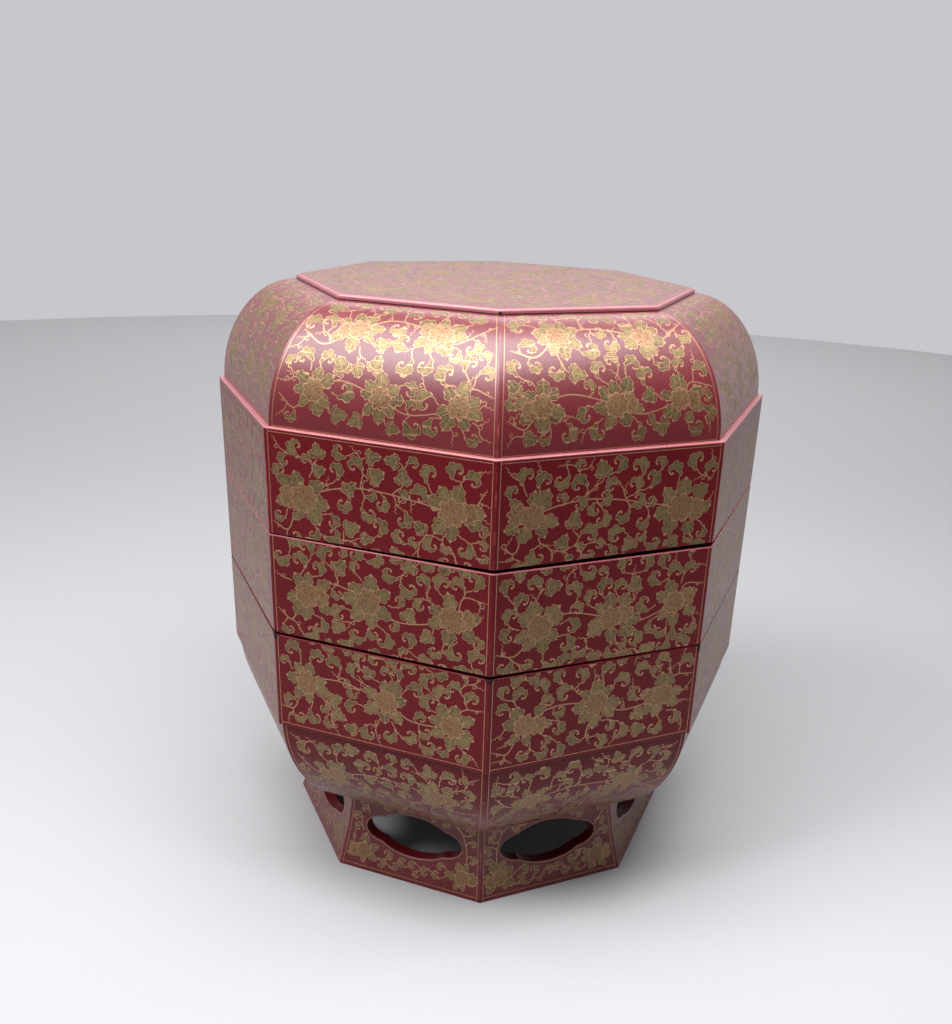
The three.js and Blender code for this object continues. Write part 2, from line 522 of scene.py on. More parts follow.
# A leaf whose far end curls back into a small hook, a pointed leaf with two side lobes, and spots
# inside each that mark it as filled.
CURL_LEAF = [
    (-0.95, 0.12), (-0.74, 0.44), (-0.36, 0.48), (-0.14, 0.84), (0.28, 0.9), (0.46, 0.64), (0.88, 0.52),
    (1.0, 0.08), (0.82, -0.12), (0.92, -0.56), (0.52, -0.88), (0.06, -0.9), (-0.22, -0.7), (-0.22, -0.46),
    (-0.04, -0.38), (0.04, -0.5), (-0.06, -0.6), (0.1, -0.74), (0.34, -0.56), (0.26, -0.2), (-0.14, -0.06),
]
CURL_HEARTS = [
    (-0.55, 0.2), (0.0, 0.2), (0.06, 0.58), (0.5, 0.36), (0.68, 0.1), (0.54, -0.2), (0.6, -0.56),
    (0.3, -0.74),
]
LANCE_HALF = [
    (0, 0), (0.08, 0.26), (0.3, 0.46), (0.48, 0.42), (0.55, 0.3), (0.78, 0.34), (0.92, 0.13), (1.08, 0),
]
LANCE_LEAF = LANCE_HALF + [(x, -y) for x, y in LANCE_HALF[-2:0:-1]]
LANCE_HEARTS = [(0.16, 0.0), (0.34, 0.2), (0.34, -0.2), (0.56, 0.0), (0.76, 0.12), (0.76, -0.12)]


class Scroll:
    """A gilder's flower scroll over one field, drawn in the order in which it overlaps."""

    CELL = 8.0
    TENDRIL_SIZE = 2.7
    TENDRIL_ROOM = 2.6
    TENDRIL_GAP = 0.4
    TENDRIL_BELOW = 3.0
    TREFOIL_FROM = 5.0
    STEM_STEP = 2.6
    STEM_PULL = 0.35

    def __init__(self, seed, room):
        self.random = random.Random(seed)
        self.room = room
        self.stems, self.leaves, self.heads = [], [], []
        self.twigs = []
        self.taken = {}

    def motifs(self):
        return self.stems + self.leaves + self.heads

    def claim(self, u, v, radius):
        cell = (int(u // self.CELL), int(v // self.CELL))
        self.taken.setdefault(cell, []).append((u, v, radius))

    def free(self, u, v, radius, gap):
        if self.room(u, v) < radius * 0.92:
            return False
        near = int((radius + HEAD_SIZE + gap) // self.CELL) + 1
        cu, cv = int(u // self.CELL), int(v // self.CELL)
        for i in range(cu - near, cu + near + 1):
            for j in range(cv - near, cv + near + 1):
                for a, b, r in self.taken.get((i, j), ()):
                    if (u - a) ** 2 + (v - b) ** 2 < (radius + r + gap) ** 2:
                        return False
        return True

    def stem(self, line, start, end):
        tone = self.random.random()
        self.stems.append(motif("line", ribbon(line, start, end), place=line[0], tone=tone))
        fresh = []
        for (x0, y0), (x1, y1) in zip(line, line[1:]):
            fresh.append((x1, y1, math.atan2(y1 - y0, x1 - x0)))
        self.twigs += fresh
        return fresh

    def vine(self, points, width=0.95, clear=0.9):
        line = through(points, 6)
        self.stem(line, width, width * 0.85)
        for x, y in line[::2]:
            self.claim(x, y, clear)
        for (x0, y0), (x1, y1) in (line[-2:], line[1::-1]):
            if self.room(x1, y1) > 0:
                self.tendril(x1, y1, math.atan2(y1 - y0, x1 - x0), 5.0)

    def lance(self, base, angle, length, heads=False):
        """A pointed leaf, made shorter where it would run out of the field."""
        rnd = self.random
        stretch = rnd.uniform(0.9, 1.2)
        for share in (1.0, 0.8, 0.6):
            points = turned(LANCE_LEAF, angle, length * share, base, False, stretch)
            if min(self.room(*p) for p in points) < -0.5:
                continue
            hearts = turned(LANCE_HEARTS, angle, length * share, base, False, stretch)
            leaf = motif("leaf", points, hearts, base, angle, rnd.random())
            (self.heads if heads else self.leaves).append(leaf)
            return

    def head(self, u, v, size):
        """A full flower, sometimes with a second one behind it, in a ragged ring of lobed leaves."""
        rnd = self.random
        start = rnd.uniform(0, 2 * math.pi)
        count = rnd.choice((6, 7, 7, 8))
        lean = rnd.uniform(-0.3, 0.3) + rnd.choice((0, math.pi))
        double = rnd.random() < 0.4
        for i in range(count):
            a = start + (i + rnd.uniform(-0.22, 0.22)) * 2 * math.pi / count
            out = 0.4 + (0.2 if double and math.cos(a - lean) > 0.5 else 0.0)
            base = (u + out * size * math.cos(a), v + out * size * math.sin(a))
            self.lance(base, a + rnd.uniform(-0.35, 0.35), size * rnd.uniform(0.5, 0.7), True)
        if double:
            self.flower(u + 0.55 * size * math.cos(lean), v + 0.55 * size * math.sin(lean), size * 0.42)
        self.flower(u, v, size * rnd.uniform(0.48, 0.54))
        self.claim(u, v, size * 0.95)
        for i in range(10):
            a = i * math.pi / 5
            self.twigs.append((u + size * 0.8 * math.cos(a), v + size * 0.8 * math.sin(a), a))

    def flower(self, u, v, radius):
        rnd = self.random
        petals = rnd.choice((7, 8, 9))
        start = rnd.uniform(0, 2 * math.pi)
        points = []
        for i in range(petals * 3):
            a = start + i * 2 * math.pi / (petals * 3)
            r = radius * (0.8 if i % 3 == 0 else 1.03) * rnd.uniform(0.93, 1.07)
            points.append((u + r * math.cos(a), v + r * math.sin(a)))
        hearts = [(u, v)]
        for i in range(petals):
            a = start + (i * 3 + 1.5) * 2 * math.pi / (petals * 3)
            hearts.append((u + radius * 0.72 * math.cos(a), v + radius * 0.72 * math.sin(a)))
        self.heads.append(motif("flower", points, hearts, (u, v), start, rnd.random()))

    def curl_leaf(self, u, v, radius, angle, mirrored):
        rnd = self.random
        stretch = rnd.uniform(0.88, 1.1)
        points = turned(CURL_LEAF, angle, radius, (u, v), mirrored, stretch)
        hearts = turned(CURL_HEARTS, angle, radius, (u, v), mirrored, stretch)
        self.leaves.append(motif("leaf", points, hearts, (u, v), angle, rnd.random()))

    def trefoil(self, u, v, radius, angle):
        base = (u - radius * 0.55 * math.cos(angle), v - radius * 0.55 * math.sin(angle))
        for spread, share in ((1.25, 1.0), (-1.25, 1.0), (0, 1.5)):
            self.lance(base, angle + spread, radius * share)

    def tendril(self, u, v, angle, length):
        """A wavering tip with a small coil beside it."""
        side = self.random.choice((-1, 1))
        tip = []
        for i in range(9):
            along = length * i / 8
            sway = 0.75 * math.sin(i * 1.9) * min(1.0, 0.3 + i / 5)
            tip.append((along, sway))
        tip = turned(tip, angle, 1.0, (u, v))
        self.stems.append(motif("line", ribbon(tip, 0.7, 0.35), place=(u, v)))
        coil = []
        radius = length * 0.24
        for i in range(9):
            a = angle + side * (0.4 + 5.0 * i / 8)
            r = radius * (1 - 0.66 * i / 8)
            coil.append((r * math.cos(a - side * math.pi / 2), r * math.sin(a - side * math.pi / 2)))
        dx, dy = u - coil[0][0], v - coil[0][1]
        coil = [(x + dx, y + dy) for x, y in coil]
        self.stems.append(motif("line", ribbon(coil, 0.65, 0.5, 0.55), place=(u, v)))

    def worth(self, site, twig):
        """How far a leaf at the site would hang from the twig, with a sharp turn counted as distance."""
        u, v, radius = site
        x, y, heading = twig
        distance = math.hypot(u - x, v - y)
        if distance < radius * 0.9:
            return 1e6 - distance
        bend = math.atan2(v - y, u - x) - heading
        return distance * (1.35 - 0.35 * math.cos(bend))

    def clothe(self, box, sizes, corners, tries):
        """Fills what is left of the field with leaves, each hung from the twig nearest to it."""
        rnd = self.random
        u0, v0, u1, v1 = box
        sites = [(u, v, self.TENDRIL_SIZE) for u, v in corners]
        for site in sites:
            self.claim(*site)
        small, large = sizes
        for k in range(tries):
            radius = large + (small - large) * (k / tries) ** 0.5 + rnd.uniform(-0.3, 0.3)
            u, v = rnd.uniform(u0, u1), rnd.uniform(v0, v1)
            if self.free(u, v, radius * 0.88, LEAF_GAP):
                self.claim(u, v, radius * 0.88)
                sites.append((u, v, radius))
        for k in range(tries // 8):
            u, v = rnd.uniform(u0, u1), rnd.uniform(v0, v1)
            if self.free(u, v, self.TENDRIL_ROOM, self.TENDRIL_GAP):
                self.claim(u, v, self.TENDRIL_ROOM)
                sites.append((u, v, self.TENDRIL_SIZE))
        best = [min((self.worth(site, twig), twig) for twig in self.twigs) for site in sites]
        while sites:
            pick = min(range(len(sites)), key=lambda i: best[i][0])
            fresh = self.grow(sites.pop(pick), best.pop(pick)[1])
            for i, other in enumerate(sites):
                nearer = min((self.worth(other, t), t) for t in fresh)
                if nearer[0] < best[i][0]:
                    best[i] = nearer

    def grow(self, site, twig):
        """One stem, and the leaf or the tendril at its end."""
        rnd = self.random
        u, v, radius = site
        x, y, heading = twig
        bend = rnd.choice((-1, 1)) * rnd.uniform(0.25, 0.7)
        arrival = math.atan2(v - y, u - x) + bend
        bx, by = u - radius * 0.8 * math.cos(arrival), v - radius * 0.8 * math.sin(arrival)
        pull = math.hypot(bx - x, by - y) * self.STEM_PULL
        cx, cy = x + math.cos(heading) * pull, y + math.sin(heading) * pull
        ex, ey = bx - math.cos(arrival) * pull, by - math.sin(arrival) * pull
        steps = max(3, min(7, int(pull / self.STEM_PULL / self.STEM_STEP)))
        line = []
        for i in range(steps + 1):
            t = i / steps
            w = ((1 - t) ** 3, 3 * t * (1 - t) ** 2, 3 * t * t * (1 - t), t**3)
            both = ((x, cx, ex, bx), (y, cy, ey, by))
            line.append(tuple(w[0] * a + w[1] * b + w[2] * c + w[3] * d for a, b, c, d in both))
        fresh = self.stem(line, 0.85, 0.65)
        if radius < self.TENDRIL_BELOW:
            self.tendril(bx, by, arrival, radius * 2.6)
        elif radius > self.TREFOIL_FROM and rnd.random() < 0.2:
            self.trefoil(u, v, radius, arrival)
        else:
            self.curl_leaf(u, v, radius, arrival, bend > 0)
        return fresh


def wandering(heads, start, end, sway):
    """The points of a vine that passes through the flower heads, swaying between them."""
    stops = [start] + [(u, v) for u, v, size in heads] + [end]
    points = [stops[0]]
    for i, ((u0, v0), (u1, v1)) in enumerate(zip(stops, stops[1:])):
        lift = sway if i % 2 else -sway
        points.append(((u0 * 0.6 + u1 * 0.4), (v0 * 0.6 + v1 * 0.4) + lift))
        points.append((u1, v1))
    return points


def side_lines(section, low, high):
    """A gilded line up each side of a field, let in from the corners, from one reach to another."""
    rows = [low] + [r for r in section.reach if low + 0.01 < r < high - 0.01] + [high]
    made = []
    for hand in (-1, 1):
        outer = [(hand * (section.half_width(r) - FRAME_INSET), r) for r in rows]
        inner = [(hand * (section.half_width(r) - FRAME_INSET - FRAME_LINE), r) for r in rows]
        made.append(motif("line", outer + inner[::-1]))
    return made


def cross_line(section, along):
    """A gilded line across a field at one reach, between its side lines."""
    upper = along + FRAME_LINE
    ends = [section.half_width(r) - FRAME_INSET for r in (along, upper)]
    return motif("line", [(-ends[0], along), (ends[0], along), (ends[1], upper), (-ends[1], upper)])


def clipped(points, low, high):
    """The part of a closed outline between two reaches."""
    for limit, sign in ((low, 1), (high, -1)):
        kept = []
        for (x0, y0), (x1, y1) in zip(points, points[1:] + points[:1]):
            within = (y0 - limit) * sign >= 0
            if within:
                kept.append((x0, y0))
            if within != ((y1 - limit) * sign >= 0):
                kept.append((x0 + (limit - y0) / (y1 - y0) * (x1 - x0), limit))
        points = kept
    return points


def holds(points, u, v):
    """Whether a closed outline goes round a place."""
    turns = 0
    x0, y0 = points[-1]
    for x1, y1 in points:
        if (y0 <= v) != (y1 <= v) and x0 + (v - y0) * (x1 - x0) / (y1 - y0) > u:
            turns += 1 if y1 > y0 else -1
        x0, y0 = x1, y1
    return turns != 0


def depth_in(points, u, v):
    """How far a place is from a closed outline."""
    nearest = 1e9
    x0, y0 = points[-1]
    for x1, y1 in points:
        dx, dy = x1 - x0, y1 - y0
        run = dx * dx + dy * dy or 1e-12
        share = ((u - x0) * dx + (v - y0) * dy) / run
        share = 0.0 if share < 0 else 1.0 if share > 1 else share
        gap = (x0 + share * dx - u) ** 2 + (y0 + share * dy - v) ** 2
        nearest = gap if gap < nearest else nearest
        x0, y0 = x1, y1
    return math.sqrt(nearest)


# Places nearer to each other than this are taken as one.
SNAP = 0.02


def divided(border, lines, motifs, levels=()):
    """Cuts a field into triangles along its lines, at the levels, and along the motifs' outlines.

    It yields each triangle's three places and the motif on top there, or None.
    """
    places = [Vector(p) for p in border]
    faces = [list(range(len(border)))]
    tops = [None]
    for drawn, cut in motifs:
        first = len(places)
        places += [Vector(p) for p in cut]
        faces.append(list(range(first, len(places))))
        tops.append(drawn)
        places += [Vector(p) for p in drawn.hearts if holds(cut, *p)]
    out = delaunay_2d_cdt(places, lines, faces, 1, SNAP, True)
    spots = []
    for place in out[0]:
        i = min(bisect_right(levels, place.y - 2 * SNAP), len(levels) - 1)
        on_level = levels and abs(levels[i] - place.y) < 2 * SNAP
        spots.append((place.x, levels[i] if on_level else place.y))
    for corners, owners in zip(out[2], out[5]):
        trio = [spots[i] for i in corners]
        u = sum(p[0] for p in trio) / 3
        v = sum(p[1] for p in trio) / 3
        if 0 not in owners and not holds(border, u, v):
            continue
        top = None
        for owner in sorted(owners, reverse=True):
            if owner and holds(tops[owner].points, u, v):
                top = tops[owner]
                break
        yield trio, top


def in_motif(drawn, place):
    """Where a place is in its motif: along it, across it, and in from its outline."""
    du, dv = place[0] - drawn.place[0], place[1] - drawn.place[1]
    c, s = math.cos(drawn.angle), math.sin(drawn.angle)
    return (du * c + dv * s, -du * s + dv * c, depth_in(drawn.points, *place))


# A decorated stretch of a section, from one reach to another, and the motifs on it.
Field = namedtuple("Field", "low high motifs")


def clad(shell, section, side, fields, lift=None):
    """Lays one flat of a piece, with the gilding let in flush.

    lift, if given, is how far a rim is raised at a side, a share of the half width and a height.
    """
    count = len(section.rows)
    tuck = [(flat - r) * LEAN for (flat, z), r in zip(section.rows, section.rounding)]
    border = [(tuck[i], section.reach[i]) for i in range(count)]
    border += [(-tuck[i], section.reach[i]) for i in reversed(range(count))]
    rows = [(2 * count - 1 - i, i) for i in range(1, count - 1)]
    motifs = []
    for low, high, drawn in fields:
        for one in drawn:
            tops = [p[1] for p in one.points]
            if max(tops) < low + 0.05 or min(tops) > high - 0.05:
                continue
            cut = one.points
            if min(tops) < low or max(tops) > high:
                cut = clipped(cut, low, high)
            if len(cut) > 2:
                motifs.append((one, cut))
    angle = FIRST_FLAT + side * 2 * HALF_TURN
    for trio, top in divided(border, rows, motifs, section.reach):
        strip = section.strip_at(sum(p[1] for p in trio) / 3)
        finish = section.strips[strip][0]
        points, normals = [], []
        for u, along in trio:
            flat, z, lean = section.at(strip, along)
            if lift:
                z += lift(side, u / section.half_laid(strip, along), z)
            points.append(spot_on(side, flat, u, z))
            normals.append(normal_on(angle, lean))
        if top is None:
            shell.face(points, normals, finish)
        elif top.kind != "opening":
            shell.face(points, normals, top.kind, top.tone, [in_motif(top, p) for p in trio])


def round_corner(shell, section, corner, lift=None):
    """The rounded edge between two flats. Corner 0 is on the right of side 0."""
    middle = FIRST_FLAT + (2 * corner + 1) * HALF_TURN
    columns = []
    for (flat, z), r in zip(section.rows, section.rounding):
        out = (flat - r) / math.cos(HALF_TURN)
        z += lift(corner, 1.0, z) if lift else 0.0
        column = []
        for j in range(CORNER_STEPS + 1):
            a = middle + HALF_TURN * (2 * j / CORNER_STEPS - 1)
            x = out * math.cos(middle) + r * math.cos(a)
            y = out * math.sin(middle) + r * math.sin(a)
            column.append(((x * MM, y * MM, z * MM), a))
        columns.append(column)
    for strip, (finish, lean0, lean1) in enumerate(section.strips):
        for j in range(CORNER_STEPS):
            near, far = columns[strip][j:j + 2], columns[strip + 1][j:j + 2]
            quad = near + far[::-1]
            leans = (lean0, lean0, lean1, lean1)
            normals = [normal_on(a, lean) for (point, a), lean in zip(quad, leans)]
            # Tone 1 marks the corner for the lacquer's pale pink patches: wear, and painted highlight along
            # the edge.
            shell.face([point for point, a in quad], normals, finish, 1.0)


def flat_strip(runs):
    """One flat's worth of a plain inner surface, as a mesh for the tree below."""
    points, faces = [], []
    for flat, z in runs:
        points.append(spot_on(0, flat, -flat * LEAN, z))
        points.append(spot_on(0, flat, flat * LEAN, z))
    for i in range(len(runs) - 1):
        a, b, c, d = 2 * i, 2 * i + 1, 2 * i + 3, 2 * i + 2
        if runs[i][0] == 0:
            faces.append((a, c, d))
        elif runs[i + 1][0] == 0:
            faces.append((a, b, c))
        else:
            faces.append((a, b, c, d))
    mesh = bpy.data.meshes.new("one flat")
    mesh.from_pydata(points, [], faces)
    return mesh


def eight_flats_tree():
    """A tree that sets one flat's surface round the axis on every side, and welds the seams."""
    tree = bpy.data.node_groups.new("eight flats", "GeometryNodeTree")
    sockets = tree.interface
    sockets.new_socket("One flat", in_out="INPUT", socket_type="NodeSocketGeometry")
    sockets.new_socket("Sides", in_out="INPUT", socket_type="NodeSocketInt")
    sockets.new_socket("Weld", in_out="INPUT", socket_type="NodeSocketFloat")
    sockets.new_socket("Finish", in_out="INPUT", socket_type="NodeSocketMaterial")
    sockets.new_socket("All flats", in_out="OUTPUT", socket_type="NodeSocketGeometry")

    def add(kind, settings=None, inputs=None):
        made = tree.nodes.new(kind)
        for name, value in (settings or {}).items():
            setattr(made, name, value)
        for name, value in (inputs or {}).items():
            if isinstance(value, bpy.types.NodeSocket):
                tree.links.new(value, made.inputs[name])
            else:
                made.inputs[name].default_value = value
        return made

    given = add("NodeGroupInput").outputs
    line = add("GeometryNodeMeshLine", {"mode": "OFFSET"}, {"Count": given["Sides"], "Offset": (0, 0, 0)})
    share = add("ShaderNodeMath", {"operation": "DIVIDE"}, {0: 2 * math.pi, 1: given["Sides"]})
    number = add("GeometryNodeInputIndex")
    angle = add("ShaderNodeMath", {"operation": "MULTIPLY"}, {0: number.outputs[0], 1: share.outputs[0]})
    euler = add("ShaderNodeCombineXYZ", inputs={"Z": angle.outputs[0]})
    turned_by = add("FunctionNodeEulerToRotation", inputs={0: euler.outputs[0]})
    copies = add(
        "GeometryNodeInstanceOnPoints",
        inputs={"Points": line.outputs[0], "Instance": given["One flat"], "Rotation": turned_by.outputs[0]},
    )
    real = add("GeometryNodeRealizeInstances", inputs={0: copies.outputs[0]})
    welded = add("GeometryNodeMergeByDistance", inputs={0: real.outputs[0], "Distance": given["Weld"]})
    dressed = add("GeometryNodeSetMaterial", inputs={0: welded.outputs[0], "Material": given["Finish"]})
    add("NodeGroupOutput", inputs={0: dressed.outputs[0]})
    return tree


def eight_flats(one_flat, material):
    """Runs the tree on one flat's mesh, and gives back the plain mesh of all of them."""
    holder = bpy.data.objects.new("lining", one_flat)
    bpy.context.collection.objects.link(holder)
    modifier = holder.modifiers.new("eight flats", "NODES")
    modifier.node_group = eight_flats_group
    values = {"Sides": SIDES, "Weld": SNAP * MM, "Finish": material}
    for item in eight_flats_group.interface.items_tree:
        if item.in_out == "INPUT" and item.name in values:
            modifier[item.identifier] = values[item.name]
    evaluated = holder.evaluated_get(bpy.context.evaluated_depsgraph_get())
    made = bpy.data.meshes.new_from_object(evaluated)
    holder.modifiers.clear()
    bpy.data.objects.remove(holder)
    return made


eight_flats_group = eight_flats_tree()

# Chips where a rim or a corner has been knocked: the corner, how far the flats beside it are from the
# axis, the height and the size.
CHIPS = [
    (0, PLATE_FLAT, LID_TOP - 2.4, 1.7),
    (0, BODY_FLAT, 218.0, 3.6),
    (7, BODY_FLAT, 218.0, 4.2),
    (6, BODY_FLAT, 291.0, 3.0),
    (6, BODY_FLAT, 218.0, 3.0),
    (1, BODY_FLAT, 216.0, 3.4),
    (0, 146.0, 0.5, 2.6),
]


# The heights between which a soft polish comes in, up to the dome and down to the bowl and the foot.
DOME_POLISH_METRES = (0.3615, 0.3625)
FOOT_POLISH_METRES = (0.125, 0.085)


def lacquer_material(name, dark, bright, rough):
    """Vermilion lacquer: deep red with a faint cloudiness, a hard gloss, fine scratches and a few chips."""
    finish = Finish(name)
    where = finish.place()
    cloud = finish.noise(where, 22.0, 4.0, 0.55)
    speck = finish.noise(where, 420.0, 2.0)
    rubbed = finish.step(finish.noise(where, 55.0, 5.0, 0.65), 0.5, 0.72)
    edge = finish.step(finish.stored("tone"), 0.6, 0.9)
    colour = finish.blend(cloud, dark, bright)
    # On the rounded corners (tone 1) rubbed patches turn pale pink: wear, and painted highlight along the
    # corner edges.
    colour = finish.blend(rubbed * edge * 0.6, colour, srgb(190, 92, 88))
    colour = finish.blend(finish.step(speck, 0.66, 0.78) * 0.35, colour, srgb(60, 10, 12))
    chipped = None
    for corner, flat, height, size in CHIPS:
        a = FIRST_FLAT + (2 * corner + 1) * HALF_TURN
        out = flat / math.cos(HALF_TURN) * MM
        spot = (out * math.cos(a), out * math.sin(a), height * MM)
        away = finish.node("ShaderNodeVectorMath", {"operation": "DISTANCE"}, {0: where, 1: spot}, output=1)
        mask = finish.step(away + (speck - 0.5) * size * 1.4 * MM, size * MM, size * 0.72 * MM)
        chipped = mask if chipped is None else chipped.math("MAXIMUM", mask)
    colour = finish.blend(chipped, colour, srgb(34, 16, 14))
    rough = finish.noise(where, 120.0, 4.0, 0.6) * 0.12 + rough + chipped * 0.45
    polish = finish.step(finish.height(), *DOME_POLISH_METRES)
    polish += finish.step(finish.height(), *FOOT_POLISH_METRES) * 0.7
    height = finish.noise(where, 60.0, 2.0) + speck * 0.04 - chipped * 0.6
    return finish.surface(
        Base_Color=colour, Roughness=rough, Specular_IOR_Level=0.16,
        Coat_Weight=polish * 0.95 + 0.05, Coat_Roughness=0.46,
        Normal=finish.bump(height, 0.12, 0.4 * MM),
    )


GOLD_FILL = srgb(130, 111, 70)
GOLD_DEEP = srgb(52, 30, 20)
GOLD_LINE = srgb(162, 124, 92)
RUBBED_RED = srgb(120, 54, 44)


def gilded_surface(finish, colour, relief, wear_and_highlight):
    """What every gilded part shares: soft metal, rubbed through in places to the red below."""
    colour = finish.blend(wear_and_highlight * 0.45, colour, RUBBED_RED)
    return finish.surface(
        Base_Color=colour, Metallic=0.62 - wear_and_highlight * 0.3, Roughness=0.42 + wear_and_highlight * 0.1,
        Coat_Weight=0.15, Coat_Roughness=0.4,
        Normal=finish.bump(relief, 0.35, 0.12 * MM),
    )


def gilded_leaf_material():
    """Gold leaf in an incised leaf: hatched from the midrib outwards, with a brighter outline."""
    finish = Finish("gilded leaf")
    where = finish.place()
    along, across, inward = finish.drawing()
    tone = finish.stored("tone")
    wobble = finish.noise(where, 300.0, 2.0) - 0.5
    slant = along - abs(across) * 0.95 + wobble * 1.6
    hatch = abs((slant / 1.15 + tone * 7.0).math("FRACT") - 0.5) * 2
    vein = finish.step(abs(across), 0.34, 0.14)
    lines = finish.step(hatch, 0.45, 0.9) * 0.7
    mottle = finish.noise(where, 620.0, 3.0, 0.6)
    outline = finish.step(inward + wobble * 0.3, 0.46, 0.3)
    cut = finish.step(inward + wobble * 0.5, 0.95, 0.6) * 0.55
    colour = finish.blend((lines + cut).math("MINIMUM", 1.0), GOLD_FILL, GOLD_DEEP)
    colour = finish.blend(finish.step(mottle, 0.48, 0.66) * 0.6, colour, GOLD_DEEP)
    colour = finish.scale(colour, tone * 0.36 + 0.82)
    colour = finish.blend((outline + vein * 0.5).math("MINIMUM", 1.0), colour, GOLD_LINE)
    wear_and_highlight = finish.step(finish.noise(where, 140.0, 4.0, 0.65), 0.56, 0.74)
    return gilded_surface(finish, colour, hatch * 0.4 + outline + mottle * 0.5, wear_and_highlight)


def gilded_flower_material():
    """Gold leaf in a flower: rings of small round petals, each cut with fine radial strokes."""
    finish = Finish("gilded flower")
    where = finish.place()
    along, across, inward = finish.drawing()
    tone = finish.stored("tone")
    wobble = finish.noise(where, 260.0, 2.0) - 0.5
    away = (along * along + across * across).math("SQRT") + wobble * 2.2
    bearing = across.math("ARCTAN2", along)
    ring = away / 2.1
    scallop = abs((bearing * 4.5 + ring.math("FLOOR") * 1.3 + tone * 6.0).math("SINE"))
    petals = (ring - scallop * 0.55).math("FRACT")
    lines = finish.step(abs(petals - 0.5), 0.3, 0.42)
    strokes = finish.step((bearing * 30.0 + away * 1.2 + wobble * 6.0).math("SINE"), 0.2, 0.9)
    mottle = finish.noise(where, 620.0, 3.0, 0.6)
    outline = finish.step(inward + wobble * 0.3, 0.6, 0.4)
    colour = finish.blend(strokes * 0.85, GOLD_FILL, srgb(104, 34, 30))
    colour = finish.blend(finish.step(mottle, 0.46, 0.62) * 0.7, colour, srgb(98, 34, 30))
    colour = finish.scale(colour, tone * 0.2 + 0.88)
    colour = finish.blend((lines * 0.5 + outline).math("MINIMUM", 1.0), colour, GOLD_LINE)
    wear_and_highlight = finish.step(finish.noise(where, 140.0, 4.0, 0.65), 0.54, 0.74)
    return gilded_surface(finish, colour, lines + mottle * 0.5, wear_and_highlight)


def gilded_line_material():
    """Gold rubbed into an incised line."""
    finish = Finish("gilded line")
    where = finish.place()
    mottle = finish.noise(where, 500.0, 3.0, 0.6)
    colour = finish.blend(finish.step(mottle, 0.42, 0.7) * 0.5, GOLD_LINE, srgb(150, 96, 72))
    wear_and_highlight = finish.step(finish.noise(where, 110.0, 4.0, 0.65), 0.55, 0.75)
    return gilded_surface(finish, colour, mottle, wear_and_highlight)


def inside_material():
    """The inside: black lacquer, duller than the outside."""
    finish = Finish("inside lacquer")
    where = finish.place()
    cloud = finish.noise(where, 30.0, 4.0, 0.6)
    colour = finish.blend(cloud, srgb(22, 12, 12), srgb(36, 16, 16))
    return finish.surface(
        Base_Color=colour, Roughness=cloud * 0.2 + 0.35, Normal=finish.bump(cloud, 0.1, 0.4 * MM),
    )


FINISHES = {
    "lacquer": lacquer_material("vermilion lacquer", srgb(80, 8, 15), srgb(100, 12, 20), 0.22),
    # The paler pink lacquer on the next line paints the highlight of the ledge, the plate's edge and the
    # middle tier's eased rim into their colour, together with their wear.
    "wear_and_highlight": lacquer_material("worn lacquer", srgb(134, 66, 72), srgb(156, 92, 96), 0.3),
    "leaf": gilded_leaf_material(),
    "flower": gilded_flower_material(),
    "line": gilded_line_material(),
    # The black inside lacquer is also laid in thin strips at the plate's foot and at the top of the foot, as
    # painted shadow.
    "inside": inside_material(),
}

# How far each seam stands open at the eight corners, counted from the one on the right of side 0.
UPPER_GAPS = (2.2, 2.8, 0.9, 0.4, 0.3, 0.4, 0.5, 0.6)
LOWER_GAPS = (2.0, 0.4, 0.3, 0.5, 0.3, 0.4, 0.9, 1.9)
GAP_FADE = 12.0


def rim_lift(seam, gaps):
    """How a slightly warped lower rim stands off the seam: in full at the rim, less and less above it."""
    def lift(side, share, height):
        fade = 1 - (height - seam) / GAP_FADE
        if fade <= 0 or height < seam - 0.01:
            return 0.0
        left, right = gaps[(side - 1) % SIDES], gaps[side % SIDES]
        return (left + (right - left) * (share + 1) / 2) * fade
    return lift


# The flower heads on the three walls, as (share of half the width, height above the bowl, size), by tier.
WALL_HEADS = (
    ((-0.66, 39.0, 17.0), (0.04, 36.0, 18.0), (0.66, 31.0, 17.0)),
    ((-0.66, 108.0, 17.5), (-0.04, 106.0, 18.0), (0.62, 107.0, 18.0)),
    ((-0.62, 174.0, 19.0), (0.68, 178.0, 18.0)),
)
WALL_FIELD = LEDGE - BOWL_TOP
WALL_SEED = 100
WALL_TRIES = 7800
WALL_MARGIN = 1.2


def wall_scroll(side):
    """The scroll over one flat of all three walls. It runs on across the seams."""
    half = BODY_FLAT * LEAN
    edge = FRAME_INSET + FRAME_LINE + WALL_MARGIN

    def room(u, v):
        return min(half - edge - abs(u), v - edge, WALL_FIELD - edge - v)

    scroll = Scroll(WALL_SEED + side, room)
    rnd = scroll.random
    hand = -1 if side % 2 else 1
    for tier in WALL_HEADS:
        heads = []
        for share, v, size in tier:
            heads.append((hand * share * half + rnd.uniform(-4, 4), v + rnd.uniform(-4, 4), size))
        heads.sort()
        low = heads[0][1] - rnd.uniform(16, 24)
        high = heads[-1][1] + rnd.uniform(12, 20)
        scroll.vine(wandering(heads, (-half + 8, low), (half - 8, high), rnd.uniform(7, 10)))
        for head in heads:
            scroll.head(*head)
    inset = edge + 4.5
    corners = [(a * (half - inset), v) for a in (-1, 1) for v in (inset, WALL_FIELD - inset)]
    scroll.clothe((-half, 0, half, WALL_FIELD), LEAF_SIZES, corners, WALL_TRIES)
    return scroll.motifs()


wall_scrolls = [wall_scroll(side) for side in range(SIDES)]


